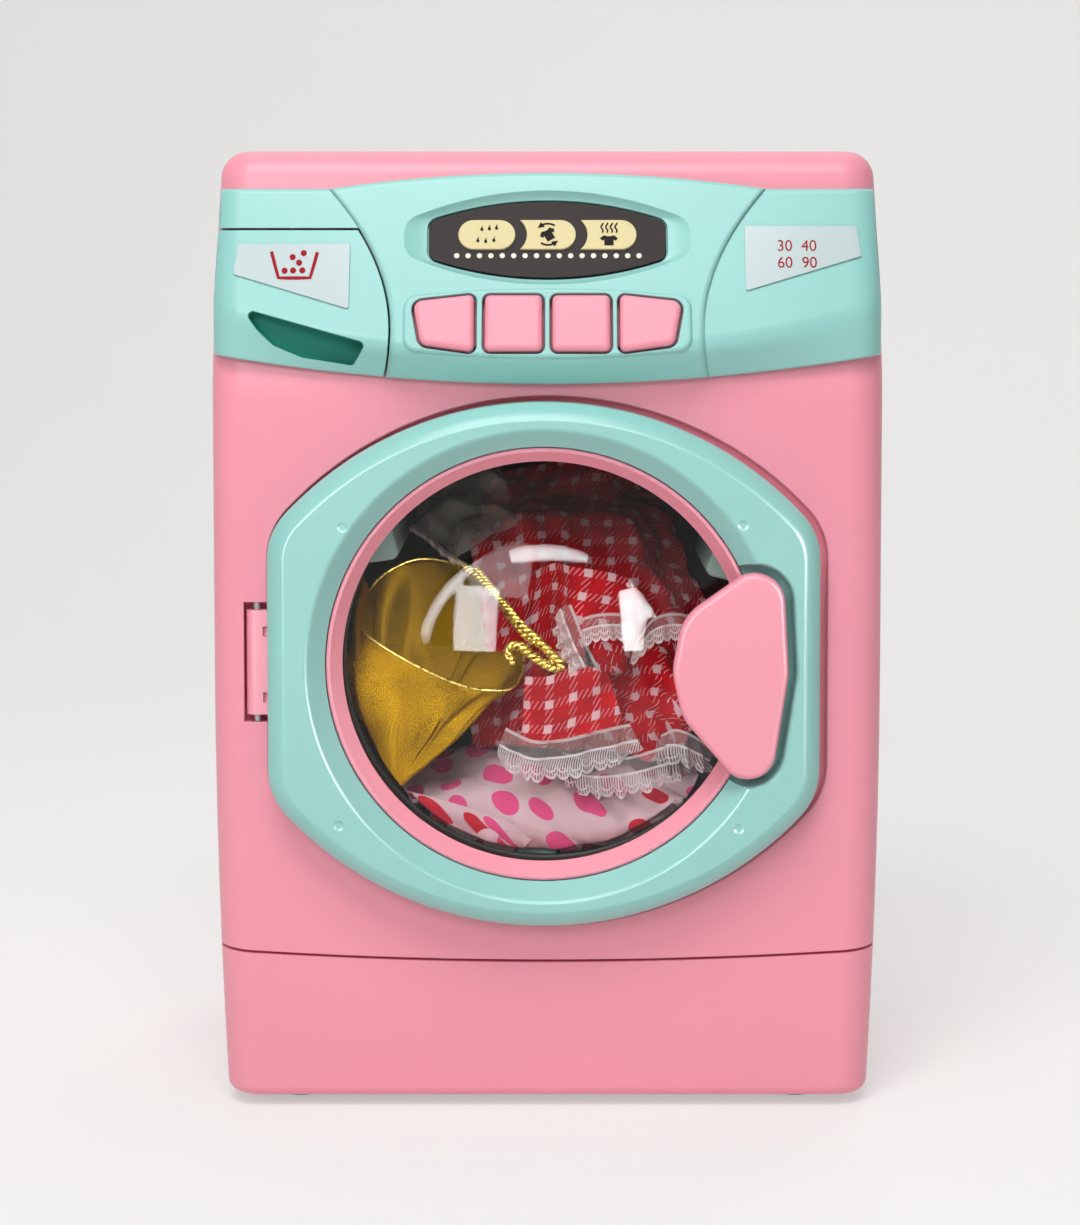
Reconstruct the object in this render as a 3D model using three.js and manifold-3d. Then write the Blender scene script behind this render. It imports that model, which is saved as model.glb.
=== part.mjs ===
// Toy washing machine, built as separate pieces. Millimetres, +Z up, the front faces -Y.
// Heights are measured from the surface it stands on. Depths are measured from the front face,
// and the last lines centre the whole machine on the origin.

import * as THREE from 'three';
import { mergeVertices } from 'three/addons/utils/BufferGeometryUtils.js';
import Module from 'manifold-3d';

const wasm = await Module();
wasm.setup();

// Fits shared by all pieces
const seatGap = 0.3;
const runGap = 0.5;
const cutOverrun = 2;

// Casing
const casingHeight = 272;
const casingDepth = 138;
const halfWidthMiddle = 95;
const topDrawIn = 1.8;
const bottomDrawIn = 3.5;
const halfWidthTop = halfWidthMiddle - topDrawIn;
const halfWidthBottom = halfWidthMiddle - bottomDrawIn;
const widestFrom = 125;
const widestTopDrop = 67;
const widestTo = casingHeight - widestTopDrop;
const casingWall = 2.2;
const plinthLift = 3;
const topRound = 7;
const bottomRound = 3;
const frontCorner = 10;
const rearCorner = 13;
const leanRun = 66;
const leanStart = casingHeight - leanRun;
const leanAngle = THREE.MathUtils.degToRad(12);
const partingDepth = 60;

// Skirt line of the base: an arc across the front
const skirtMiddle = 42.3;
const skirtRise = 3.4;
const skirtSeam = 0.8;
const tongueWall = 1.6;
const tongueHeight = 5;

// Feet
const footRadius = 9;
const footInset = 20;
const footStubRadius = 3;
const footStubHeight = 4;

// Case screws and their posts
const postRadius = 4.6;
const postInset = 14;
const postSpread = halfWidthMiddle - postInset;
const postLow = 60;
const postTopDrop = 78;
const postHigh = casingHeight - postTopDrop;
const screwShaftRadius = 1.2;
const screwHeadRadius = 2.8;
const screwHeadHeight = 1.8;
const screwBite = 11;
const screwWellRadius = 3.3;
const screwWellFloor = 6;
const crossWidth = 0.9;
const crossDepth = 0.9;

// Door recess, port and drum centre line
const doorHeight = 127.7;
const recessHalfWidth = 78.8;
const recessHalfHeight = 75;
const recessCrown = 100;
const recessCorner = 20;
const recessDepth = 4;
const portRadius = 60;
const portCollar = 6;

// Door
const doorSideGap = 0.5;
const doorFreeGap = 2.6;
const doorTopGap = 1.3;
const doorHalfHeight = recessHalfHeight - doorTopGap;
const doorCrown = 99;
const doorCorner = 19;
const doorProud = 12;
const doorBackGap = 0.4;
const doorBevelDepth = 5;
const doorBevelWidth = 4.7;
const doorWall = 2.2;
const coneLap = 1.2;
const coneInnerRadius = portRadius + coneLap;
const coneFlare = 4.6;
const coneOuterRadius = coneInnerRadius + coneFlare;
const coneDepth = 6;
const frameInset = 0.8;
const framePlate = 2.8;
const bezelLap = 3.2;
const bezelLipRadius = portRadius - bezelLap;
const bezelLipDepth = 1.3;
const windowRim = 2.5;
const windowThick = 2;
const domeRim = 21.8;
const domeRadius = bezelLipRadius - domeRim;
const domeHeight = 7;
const doorBossRadius = 3.6;
const doorBossX = 57;
const doorBossZ = 42;
const doorBossFloor = 1;
const doorScrewLength = 9;
const bezelEdge = 1;
const bevelShares = [[0.18, 0.55], [0.52, 0.19]];

// Hinge on the left
const hingeSide = 3.2;
const hingeAxisX = -(recessHalfWidth + hingeSide);
const hingeAxisDepth = 2;
const hingePinRadius = 1.2;
const knuckleRadius = 3;
const leafHalfHeight = 14.8;
const leafReach = 3.4;
const pocketHalfHeight = 17;
const pocketReach = 3.6;
const pocketFloor = 5.6;
const hingePinBite = 3;

// Handle: a pad with bowed sides, on a stem. Each row gives a circle's place and radius as shares of
// its reach, counted from its right edge, and the outline is a band round the circles in turn
const handleSide = 10.5;
const handleRightX = recessHalfWidth - handleSide;
const handleReach = 32;
const handleCircleShares = [
  [-0.509, -0.031, 0.5],
  [-0.556, -0.25, 0.406],
  [-0.359, -0.728, 0.244],
  [-0.509, -0.031, 0.5],
  [-0.303, 0.5625, 0.2625],
  [-0.531, 0.1875, 0.4375],
];
const handleThick = 4.6;
const handleProud = 1.6;
const handleRound = 1.6;
const handleNotch = 2.4;
const handleNotchDepth = 9;
const stemInset = 1.7;
const stemReach = 3.6;
const stemHalfHeight = 12;
const stemDrop = 2;

// Latch hook and sensing peg on the right of the door
const latchSide = 9.4;
const latchX = recessHalfWidth - latchSide;
const latchLift = 10;
const latchThick = 2.6;
const latchHalfHeight = 4;
const latchReach = 6;
const latchBarb = 0.9;
const latchSlotGap = 1.3;
const pegRadius = 1.6;
const pegReach = 4;
const pegHoleRadius = 2.4;

// Control panel
const panelSideStep = 0.9;
const panelHalfWidth = halfWidthMiddle - panelSideStep;
const panelTopDrawIn = 2.1;
const panelTopHalfWidth = panelHalfWidth - panelTopDrawIn;
const panelHeight = 65.8;
const panelBottomMiddle = casingHeight - panelHeight;
const panelBottomRise = 8.2;
const panelChin = 7.7;
const panelCreaseMiddle = panelBottomMiddle + panelChin;
const panelCreaseRise = 13.5;
const panelReach = 11;
const panelReachFall = 8.6;
const panelLip = 1.8;
const panelWingDrop = 11;
const panelWingTop = casingHeight - panelWingDrop;
const panelTopThick = 3.2;
const panelEndRound = 8;
const panelCreaseRound = 3.4;
const panelTopRound = 1.4;
const panelWall = 2.4;
const panelRoot = 30;
const middleStep = 1;
const middleDrop = 6.5;
const middleTop = casingHeight - middleDrop;
const middleTopDrop = 4;
const middleTopReach = 58;
const seamWaist = 43.5;
const seamWaistLift = 14.7;
const seamWaistHeight = panelBottomMiddle + seamWaistLift;
const seamTopHalf = 60;
const seamTopDrop = 2;
const seamTopHeight = panelWingTop - seamTopDrop;

// Console: everything on the sloping middle of the panel
const consoleTilt = THREE.MathUtils.degToRad(21);
const consoleLift = 17;
const consoleHeight = panelBottomMiddle + consoleLift;
const consoleReach = 8.6;
const bedHalfWidth = 40;
const bedHalfHeight = 10.25;
const bedLift = 0.35;
const bedCrown = 330;
const bedCorner = 4;
const bedSink = 4;
const bedRound = 0.8;
const bedWall = 1.2;
const bedPocketLow = 8.9;
const bedPocketHigh = 10.4;

// Buttons
const buttonHalfHeight = 8.6;
const buttonGap = 0.45;
const buttonEdgeShares = [[-0.935, -0.4975], [-0.445, -0.025], [0.0225, 0.445], [0.49, 0.935]];
const buttonCorner = 2;
const buttonOuterCorner = 3;
const buttonOuterDrop = 1.5;
const buttonOuterRise = 1.6;
const buttonSlant = 1.5;
const buttonProud = 1.8;
const buttonRound = 0.9;
const buttonFlange = 1.2;
const buttonFlangeRise = 2.7;
const buttonFlangeThick = 1;
const buttonFlangeSide = 0.3;
const buttonStemRadius = 1.8;
const buttonTravel = 1.5;

// Key mat and control board
const matThick = 1.2;
const matRingHeight = 1.9;
const matRingRadius = 3.6;
const matHoleRadius = 2.3;
const matHalfHeight = 7.6;
const boardThick = 1.6;
const boardHalfWidth = 38.4;
const boardLow = 8;
const boardHigh = 33;
const standRadius = 1.6;
const standX = 36.6;
const standHeight = 13.4;

// Display
const displayLift = 26;
const displayHalfWidth = 33.2;
const displayHalfHeight = 11.5;
const displayCrown = 96;
const displayCorner = 3;
const displaySlope = 9;
const displaySlopeHeight = 3;
const displayDepth = 4.2;
const displayThick = 1.4;
const displayLedge = 2;
const displayWindowDepth = 1.4;
const lensHalfHeight = 4.4;
const lensRise = 1.2;
const lensHeight = displayLift + lensRise;
const lensPitch = 17;
const lensHalfLength = 8;
const lensHollowShift = 1.6;
const lensThick = 1.8;

// Labels on the two wings
const labelLift = 0.3;
const labelThick = 0.3;
const labelCorner = 2;
const labelSeamGap = 11.7;
const labelEndGap = 6.7;
const labelInner = seamWaist + labelSeamGap;
const labelOuter = panelHalfWidth - labelEndGap;
const labelDrop = 15.6;
const labelTop = panelWingTop - labelDrop;
const labelInnerHeight = 18;
const labelInnerLow = labelTop - labelInnerHeight;
const labelOuterHeight = 8.6;
const labelOuterLow = labelTop - labelOuterHeight;
const panelLabelRaise = 5;

// Drawer
const stripHeight = 11.2;
const drawerTop = panelWingTop - stripHeight;
const drawerGap = 0.6;
const trayEndGap = 10.1;
const trayLeft = -(panelHalfWidth - trayEndGap);
const traySeamGap = 9.5;
const trayRight = -(seamWaist + traySeamGap);
const trayLift = 12.8;
const trayBottom = panelBottomMiddle + trayLift;
const trayHeadroom = 6.8;
const trayTop = drawerTop - trayHeadroom;
const trayFrontDepth = 9.2;
const trayBackDepth = 62;
const trayWall = 1.4;
const trayDividerShare = 0.4194;
const trayDividerX = trayRight + (trayLeft - trayRight) * trayDividerShare;
const housingWall = 1.6;
const housingBackDepth = 68;
const gripFloorDepth = 0.4;
const gripRound = 1.4;
const gripEndGap = 12.1;
const gripLeft = -(panelHalfWidth - gripEndGap);
const gripSeamGap = 8.9;
const gripRight = -(seamWaist + gripSeamGap);
const gripLift = 6.7;
const gripLow = panelBottomMiddle + gripLift;
const gripHeight = 12.3;
const gripHigh = gripLow + gripHeight;
const gripShares = [[0.916, 0], [1, 0.333], [0, 1], [0.068, 0.772], [0.216, 0.431], [0.473, 0.171]];

// Console opening in the front shell
const openingHalfWidth = 43;
const openingLift = 5.3;
const openingBottom = panelBottomMiddle + openingLift;
const openingDrop = 2.5;
const openingTop = panelWingTop - openingDrop;

// Drum, vanes and tub
const drumLap = 1;
const drumRadius = portRadius + drumLap;
const drumWall = 1.6;
const drumLip = 3.4;
const drumMouth = drumRadius - drumLip;
const drumFrontDepth = 11.4;
const driveRoom = 56.6;
const drumLength = casingDepth - drumFrontDepth - driveRoom;
const drumHubRadius = 8;
const drumHubLength = 8;
const drumConeRadius = 16;
const vaneHeight = 7.5;
const vaneFoot = 6;
const vaneTop = 2.6;
const vaneMargin = 6;
const vaneEdge = 1.2;
const vaneCount = 3;
const vaneStart = THREE.MathUtils.degToRad(-93);
const tubWall = 2;
const tubRearGap = 3;
const axleRadius = 3;
const axleGap = 0.15;
const bushWall = 2;
const bushFlange = 1.6;
const bushFlangeThick = 0.8;

// Gear train
const drumGearShare = 0.32787;
const drumGearRadius = drumRadius * drumGearShare;
const drumGearTeeth = 40;
const gearModule = (drumGearRadius * 2) / drumGearTeeth;
const wheelTeeth = 30;
const pinionTeeth = 10;
const gearWidth = 4;
const gearLayerGap = 0.6;
const rootShare = 1.2;
const tipShare = 0.8;
const footHalfShare = 0.3;
const tipHalfShare = 0.12;
const arborRadius = 1.5;
const arborGap = 0.2;
const gearAngles = [50, 120, 195].map(THREE.MathUtils.degToRad);
const platePostRadius = 3;
const platePostShares = [[-1.5, 0.5], [1.95, 0.4], [0, 2.9]];
const plateThick = 2.2;
const plateCorner = 6;

// Motor
const motorRadius = 10;
const motorFlat = 7.6;
const motorLength = 25;
const motorShaftRadius = 1;
const motorShaftBite = 6;
const plateBore = 4;

// Batteries, their box and cover
const cellRadius = 7.25;
const cellLength = 49.5;
const cellNubRadius = 2.7;
const cellNubLength = 1;
const cellPitch = 15.6;
const cellCount = 3;
const batteryLow = 50;
const batteryBoxWall = 1.6;
const batteryHalfWidth = 27;
const batteryBoxDepth = 16.6;
const coverLedge = 10;
const coverShelf = 2;
const coverScrewBite = 6;

// Slide switch on the back
const switchX = -45;
const switchDrop = 47;
const switchHeight = casingHeight - switchDrop;
const switchHalfHeight = 3;
const switchKnobHalf = 3.4;
const switchTravel = 5;
const switchProud = 1.4;
const switchPlate = 1.4;
const switchPlateLap = 1;

// Speaker on the back
const speakerX = 45;
const speakerDrop = 47;
const speakerHeight = casingHeight - speakerDrop;
const speakerRadius = 18;
const speakerMagnetRadius = 10;
const speakerRimThick = 3;
const speakerDepth = 10;
const grilleSlots = 5;
const grillePitch = 5.6;
const grilleHalfWidth = 1.1;
const grilleHalfHeight = 10;

// Clothes in the drum
const clothNear = 13.4;
const clothBackRoom = 19.4;
const clothFar = drumFrontDepth + drumLength - clothBackRoom;
const clothRound = 4;
const clothHeapShare = 0.4525;
const clothHeapDrop = drumRadius * clothHeapShare;
const coneNear = 14;
const coneBackRoom = 37.4;
const coneFar = drumFrontDepth + drumLength - coneBackRoom;
const coneCircleShares = [[-0.68, -0.525, 0.072], [-0.221, 0.082, 0.131], [-0.574, 0.295, 0.164]];
const dressNear = 17;
const dressBackRoom = 17.4;
const dressFar = drumFrontDepth + drumLength - dressBackRoom;
const dressCircleShares = [
  [-0.066, -0.262, 0.262],
  [0.459, -0.164, 0.328],
  [0.328, 0.295, 0.295],
  [0, 0.361, 0.23],
];

// Smoothness
const cornerSteps = 4;
const crownSteps = 8;
const bendSteps = 3;
const edgeSteps = 2;
const roundSegments = 40;
const smallSegments = 10;
const weldTolerance = 1e-4;

// Colours
const pink = '#f7a3b4';
const mint = '#a3ddd3';
const deepMint = '#35b3a4';
const darkPlate = '#33272a';
const cream = '#ecdfa9';
const rubberGrey = '#4b4b4d';
const drumGrey = '#39413e';
const paleMint = '#cfe9e2';
const steel = '#b9bcc0';
const whitePlastic = '#e9e7e1';
const boardGreen = '#2f6b45';
const labelSilver = '#dfe3e2';
const gold = '#c9a24a';
const ginghamRed = '#c24a4a';
const clothWhite = '#efe9e4';
const clearGrey = '#dfe8ea';
const bronze = '#b08d4f';
const cellBlue = '#3f4a57';

const machine = new THREE.Group();

// Working methods

function signedVolume(positions, indices) {
  const a = new THREE.Vector3();
  const b = new THREE.Vector3();
  const c = new THREE.Vector3();
  let sum = 0;
  for (let i = 0; i < indices.length; i += 3) {
    a.fromArray(positions, indices[i] * 3);
    b.fromArray(positions, indices[i + 1] * 3);
    c.fromArray(positions, indices[i + 2] * 3);
    sum += a.dot(b.cross(c));
  }
  return sum;
}

// A closed solid from a closed geometry, turned so that its faces point out
function solid(geometry) {
  const bare = geometry.clone();
  bare.deleteAttribute('normal');
  bare.deleteAttribute('uv');
  const merged = mergeVertices(bare, weldTolerance);
  const positions = Float32Array.from(merged.attributes.position.array);
  const indices = Uint32Array.from(merged.index.array);
  if (signedVolume(positions, indices) < 0) {
    indices.reverse();
  }
  const mesh = new wasm.Mesh({ numProp: 3, vertProperties: positions, triVerts: indices });
  return new wasm.Manifold(mesh);
}

function toGeometry(body) {
  const mesh = body.getMesh();
  const geometry = new THREE.BufferGeometry();
  geometry.setAttribute('position', new THREE.BufferAttribute(mesh.vertProperties, 3));
  geometry.setIndex(new THREE.BufferAttribute(mesh.triVerts, 1));
  geometry.computeVertexNormals();
  return geometry;
}

function add(parent, name, body, color, roughness = 0.45, metalness = 0) {
  const material = new THREE.MeshStandardMaterial({ color, roughness, metalness });
  const mesh = new THREE.Mesh(toGeometry(body), material);
  mesh.name = name;
  parent.add(mesh);
  return mesh;
}

// A shape in the X-Z plane, drawn as X and Y, running in depth from near to far
function frontPrism(shape, near, far, steps = cornerSteps) {
  const geometry = new THREE.ExtrudeGeometry(shape, {
    depth: far - near,
    bevelEnabled: false,
    curveSegments: steps,
  });
  geometry.rotateX(Math.PI / 2);
  geometry.translate(0, far, 0);
  return solid(geometry);
}

function box(x0, x1, y0, y1, z0, z1) {
  const geometry = new THREE.BoxGeometry(x1 - x0, y1 - y0, z1 - z0);
  geometry.translate((x0 + x1) / 2, (y0 + y1) / 2, (z0 + z1) / 2);
  return solid(geometry);
}

function rodY(radius, near, far, x, z, segments = smallSegments) {
  const geometry = new THREE.CylinderGeometry(radius, radius, far - near, segments);
  geometry.translate(x, (near + far) / 2, z);
  return solid(geometry);
}

function rodZ(radius, low, high, x, y, segments = smallSegments) {
  const geometry = new THREE.CylinderGeometry(radius, radius, high - low, segments);
  geometry.rotateX(Math.PI / 2);
  geometry.translate(x, y, (low + high) / 2);
  return solid(geometry);
}

// A profile of radius and depth turned about a depth axis
function turnedY(profile, x, z, segments = roundSegments) {
  const points = profile.map(([radius, depth]) => new THREE.Vector2(radius, depth));
  const geometry = new THREE.LatheGeometry(points, segments);
  geometry.translate(x, 0, z);
  return solid(geometry);
}

// A skin over rows of points, closed by a flat cap at each end
function loft(rows, across, up) {
  const count = rows[0].length;
  const positions = rows.flat().flatMap((point) => point.toArray());
  const faces = [];
  for (let row = 0; row + 1 < rows.length; row += 1) {
    for (let i = 0; i < count; i += 1) {
      const here = row * count + i;
      const next = row * count + ((i + 1) % count);
      faces.push(here, next, next + count);
      faces.push(here, next + count, here + count);
    }
  }
  const ends = [0, rows.length - 1];
  for (const row of ends) {
    const contour = rows[row].map((point) => new THREE.Vector2(point[across], point[up]));
    const contourSign = Math.sign(THREE.ShapeUtils.area(contour));
    for (const [a, b, c] of THREE.ShapeUtils.triangulateShape(contour, [])) {
      const sign = Math.sign(THREE.ShapeUtils.area([contour[a], contour[b], contour[c]]));
      const forward = (sign === contourSign) === (row > 0);
      const start = row * count;
      faces.push(start + a, start + (forward ? b : c), start + (forward ? c : b));
    }
  }
  const geometry = new THREE.BufferGeometry();
  geometry.setAttribute('position', new THREE.Float32BufferAttribute(positions, 3));
  geometry.setIndex(faces);
  return solid(geometry);
}

// Outline points stacked in depth: each level gives its depth and how far it is drawn in
function stack(outline, levels, x = 0, z = 0) {
  const rows = levels.map(([depth, inset]) =>
    outline(inset).map((point) => new THREE.Vector3(point.x + x, depth, point.y + z)));
  return loft(rows, 'x', 'z');
}

function arc(x, z, radius, from, to, steps = cornerSteps) {
  const points = [];
  for (let i = 0; i <= steps; i += 1) {
    const angle = from + ((to - from) * i) / steps;
    points.push(new THREE.Vector2(x + radius * Math.cos(angle), z + radius * Math.sin(angle)));
  }
  return points;
}

// Straight sides, a wide arc above and below, and rounded corners
function crowned(halfWidth, halfHeight, crown, corner) {
  return (inset = 0) => {
    const drop = crown - halfHeight;
    const big = crown - inset;
    const small = corner - inset;
    const cornerX = halfWidth - corner;
    const cornerZ = Math.sqrt((crown - corner) ** 2 - cornerX ** 2) - drop;
    const turn = Math.atan2(cornerZ + drop, cornerX);
    const half = Math.PI;
    return [
      ...arc(cornerX, cornerZ, small, 0, turn),
      ...arc(0, -drop, big, turn, half - turn, crownSteps).slice(1, -1),
      ...arc(-cornerX, cornerZ, small, half - turn, half),
      ...arc(-cornerX, -cornerZ, small, half, half + turn),
      ...arc(0, drop, big, half + turn, half * 2 - turn, crownSteps).slice(1, -1),
      ...arc(cornerX, -cornerZ, small, half * 2 - turn, half * 2),
    ];
  };
}

// The outline of a band round circles given as x, z and radius, counter-clockwise
function banded(circles, steps = cornerSteps) {
  return (inset = 0) => {
    const count = circles.length;
    const normals = circles.map(([x, z, radius], i) => {
      const [nextX, nextZ, nextRadius] = circles[(i + 1) % count];
      const span = Math.hypot(nextX - x, nextZ - z);
      return Math.atan2(nextZ - z, nextX - x) - Math.acos((radius - nextRadius) / span);
    });
    return circles.flatMap(([x, z, radius], i) => {
      const from = normals[(i + count - 1) % count];
      let to = normals[i];
      while (to < from) {
        to += Math.PI * 2;
      }
      return arc(x, z, radius - inset, from, to, steps);
    });
  };
}

// A rectangle with a radius for each corner: left-bottom, right-bottom, right-top, left-top
function roundedBox(x0, x1, z0, z1, radii) {
  const [a, b, c, d] = Array.isArray(radii) ? radii : [radii, radii, radii, radii];
  return banded([
    [x0 + a, z0 + a, a],
    [x1 - b, z0 + b, b],
    [x1 - c, z1 - c, c],
    [x0 + d, z1 - d, d],
  ]);
}

// Levels that round a front edge, from the flat front back to the full outline
function roundedLevels(front, back, radius, steps = edgeSteps) {
  const levels = [];
  for (let i = 0; i <= steps; i += 1) {
    const angle = (Math.PI / 2) * (i / steps);
    levels.push([front + radius * (1 - Math.sin(angle)), radius * (1 - Math.cos(angle))]);
  }
  return [...levels.reverse(), [back, 0]];
}

function union(...bodies) {
  return bodies.reduce((sum, body) => sum.add(body));
}

function cut(body, ...tools) {
  return tools.reduce((rest, tool) => rest.subtract(tool), body);
}

// Casing form

function halfWidthAt(height) {
  if (height < widestFrom) {
    const share = (widestFrom - height) / widestFrom;
    return halfWidthMiddle - (halfWidthMiddle - halfWidthBottom) * share ** 2;
  }
  if (height > widestTo) {
    const share = (height - widestTo) / (casingHeight - widestTo);
    return halfWidthMiddle - (halfWidthMiddle - halfWidthTop) * share ** 2;
  }
  return halfWidthMiddle;
}

function faceDepthAt(height) {
  return Math.max(height - leanStart, 0) * Math.tan(leanAngle);
}

function casingSection(height, inset) {
  const halfWidth = halfWidthAt(height);
  const front = faceDepthAt(height);
  const near = frontCorner - inset;
  const far = rearCorner - inset;
  const nearX = halfWidth - frontCorner;
  const farX = halfWidth - rearCorner;
  const nearY = front + frontCorner;
  const farY = casingDepth - rearCorner;
  const quarter = Math.PI / 2;
  const points = [
    ...arc(farX, farY, far, 0, quarter),
    ...arc(-farX, farY, far, quarter, quarter * 2),
    ...arc(-nearX, nearY, near, quarter * 2, quarter * 3),
    ...arc(nearX, nearY, near, quarter * 3, quarter * 4),
  ];
  return points.map((point) => new THREE.Vector3(point.x, point.y, height));
}

// The casing's outer skin, drawn in by an inset
function casing(inset) {
  const bottom = plinthLift + inset;
  const top = casingHeight - inset;
  const low = bottomRound - inset;
  const high = topRound - inset;
  const rows = [];
  const steps = edgeSteps;
  for (let i = 0; i <= steps; i += 1) {
    const angle = (Math.PI / 2) * (i / steps);
    rows.push(casingSection(bottom + low * (1 - Math.cos(angle)), inset + low * (1 - Math.sin(angle))));
  }
  const levels = 3;
  for (let i = 1; i < levels; i += 1) {
    rows.push(casingSection(plinthLift + bottomRound + ((leanStart - plinthLift) * i) / levels, inset));
  }
  rows.push(casingSection(leanStart, inset));
  rows.push(casingSection((leanStart + casingHeight - topRound) / 2, inset));
  for (let i = 0; i <= bendSteps; i += 1) {
    const angle = (Math.PI / 2) * (i / bendSteps);
    rows.push(casingSection(top - high * (1 - Math.sin(angle)), inset + high * (1 - Math.cos(angle))));
  }
  return loft(rows, 'x', 'y');
}

const casingOuter = casing(0);
const casingGrown = casing(-seatGap);
const casingInner = casing(casingWall);
const hollowCasing = cut(casingOuter, casingInner);

const wide = halfWidthMiddle + cutOverrun;
const rearInner = casingDepth - casingWall;

function skirtHeightAt(x) {
  return skirtMiddle + skirtRise * (x / halfWidthMiddle) ** 2;
}

// All that lies below, or above, the skirt line
function skirtSide(edge, limit) {
  const shape = new THREE.Shape();
  const steps = crownSteps;
  shape.moveTo(-wide, limit);
  for (let i = 0; i <= steps; i += 1) {
    const x = -wide + (2 * wide * i) / steps;
    shape.lineTo(x, skirtHeightAt(x) + edge);
  }
  shape.lineTo(wide, limit);
  shape.closePath();
  return frontPrism(shape, -cutOverrun, casingDepth + cutOverrun);
}

const belowSkirt = skirtSide(-skirtSeam / 2, -cutOverrun);
const aboveSkirt = skirtSide(skirtSeam / 2, casingHeight + cutOverrun);
const postPlaces = [postLow, postHigh].flatMap((z) => [[-postSpread, z], [postSpread, z]]);

// Control panel form

function panelRow(x, drop, forward, top, bottomInset) {
  const share = (x / panelHalfWidth) ** 2;
  const creaseZ = panelCreaseMiddle + panelCreaseRise * share;
  const creaseY = -(panelReach - panelReachFall * share) + drop - forward;
  const bottomZ = panelBottomMiddle + panelBottomRise * share + bottomInset;
  const bottomY = -panelLip + drop - forward;
  const topY = faceDepthAt(top) - panelTopThick + drop - forward;
  const crease = new THREE.Vector2(creaseY, creaseZ);
  const bottom = new THREE.Vector2(bottomY, bottomZ);
  const head = new THREE.Vector2(topY, top);
  const below = bottom.clone().sub(crease).setLength(panelCreaseRound).add(crease);
  const above = head.clone().sub(crease).setLength(panelCreaseRound).add(crease);
  const bend = new THREE.QuadraticBezierCurve(below, crease, above).getPoints(bendSteps);
  const shoulder = crease.clone().sub(head).setLength(panelTopRound).add(head);
  const points = [
    new THREE.Vector2(panelRoot, bottomZ),
    bottom,
    ...bend,
    shoulder,
    new THREE.Vector2(topY + panelTopRound, top),
    new THREE.Vector2(panelRoot, top),
  ];
  return points.map((point) => new THREE.Vector3(x, point.x, point.y));
}

// The panel's outer form: forward moves its face out, inset draws its edges in
function panelForm(forward, topAt, inset) {
  const rows = [];
  const reach = panelHalfWidth - inset - panelEndRound;
  const ends = bendSteps;
  const middle = crownSteps;
  for (let i = ends; i > 0; i -= 1) {
    const angle = (Math.PI / 2) * (i / ends);
    rows.push([-reach - panelEndRound * Math.sin(angle), panelEndRound * (1 - Math.cos(angle))]);
  }
  for (let i = 0; i <= middle; i += 1) {
    rows.push([-reach + (2 * reach * i) / middle, 0]);
  }
  for (let i = 1; i <= ends; i += 1) {
    const angle = (Math.PI / 2) * (i / ends);
    rows.push([reach + panelEndRound * Math.sin(angle), panelEndRound * (1 - Math.cos(angle))]);
  }
  return loft(rows.map(([x, drop]) => panelRow(x, drop, forward, topAt(x) - inset, inset)), 'y', 'z');
}

function wingTopAt() {
  return panelWingTop;
}

function middleTopAt(x) {
  return middleTop - middleTopDrop * (x / middleTopReach) ** 2;
}

function seamAt(height) {
  const share = (height - seamWaistHeight) / (seamTopHeight - seamWaistHeight);
  return seamWaist + (seamTopHalf - seamWaist) * share ** 2;
}

// The middle of the panel, between the two curved seams, moved outwards by a margin
function seamPrism(margin, near, far) {
  const shape = new THREE.Shape();
  const low = panelBottomMiddle - cutOverrun;
  const high = middleTop + cutOverrun;
  const steps = crownSteps;
  for (let i = 0; i <= steps; i += 1) {
    const height = low + ((high - low) * i) / steps;
    const x = seamAt(height) + margin;
    if (i === 0) {
      shape.moveTo(x, height);
    } else {
      shape.lineTo(x, height);
    }
  }
  for (let i = steps; i >= 0; i -= 1) {
    const height = low + ((high - low) * i) / steps;
    shape.lineTo(-seamAt(height) - margin, height);
  }
  shape.closePath();
  return frontPrism(shape, near, far);
}

// The left wing below the fixed strip: what the drawer front fills, drawn in by a margin
function drawerPrism(margin, near, far) {
  const shape = new THREE.Shape();
  const low = panelBottomMiddle - cutOverrun;
  const high = drawerTop - margin;
  const steps = crownSteps;
  shape.moveTo(-wide, low);
  for (let i = 0; i <= steps; i += 1) {
    const height = low + ((high - low) * i) / steps;
    shape.lineTo(-seamAt(height) - margin, height);
  }
  shape.lineTo(-wide, high);
  shape.closePath();
  return frontPrism(shape, near, far);
}

// The silhouette of the panel's ends, which draw in slightly towards the top
function panelSides() {
  const shape = new THREE.Shape();
  const low = panelBottomMiddle - cutOverrun;
  const high = middleTop + cutOverrun;
  shape.moveTo(-panelHalfWidth, low);
  shape.lineTo(panelHalfWidth, low);
  shape.lineTo(panelHalfWidth, panelCreaseMiddle + panelCreaseRise);
  shape.lineTo(panelTopHalfWidth, high);
  shape.lineTo(-panelTopHalfWidth, high);
  shape.lineTo(-panelHalfWidth, panelCreaseMiddle + panelCreaseRise);
  shape.closePath();
  return frontPrism(shape, -wide, wide);
}

// Console frame: origin on the button bed, local Z up the slope, local -Y out of it
const consoleGroup = new THREE.Group();
consoleGroup.position.set(0, -consoleReach, consoleHeight);
consoleGroup.rotation.x = -consoleTilt;
consoleGroup.updateMatrix();
machine.add(consoleGroup);

function onConsole(body) {
  const geometry = toGeometry(body);
  geometry.applyMatrix4(consoleGroup.matrix);
  return solid(geometry);
}

// Casing pieces

function crossCut(x, depth, z, reach) {
  const half = crossWidth / 2;
  return union(
    box(x - reach, x + reach, depth - crossDepth, depth + cutOverrun, z - half, z + half),
    box(x - half, x + half, depth - crossDepth, depth + cutOverrun, z - reach, z + reach),
  );
}

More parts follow.
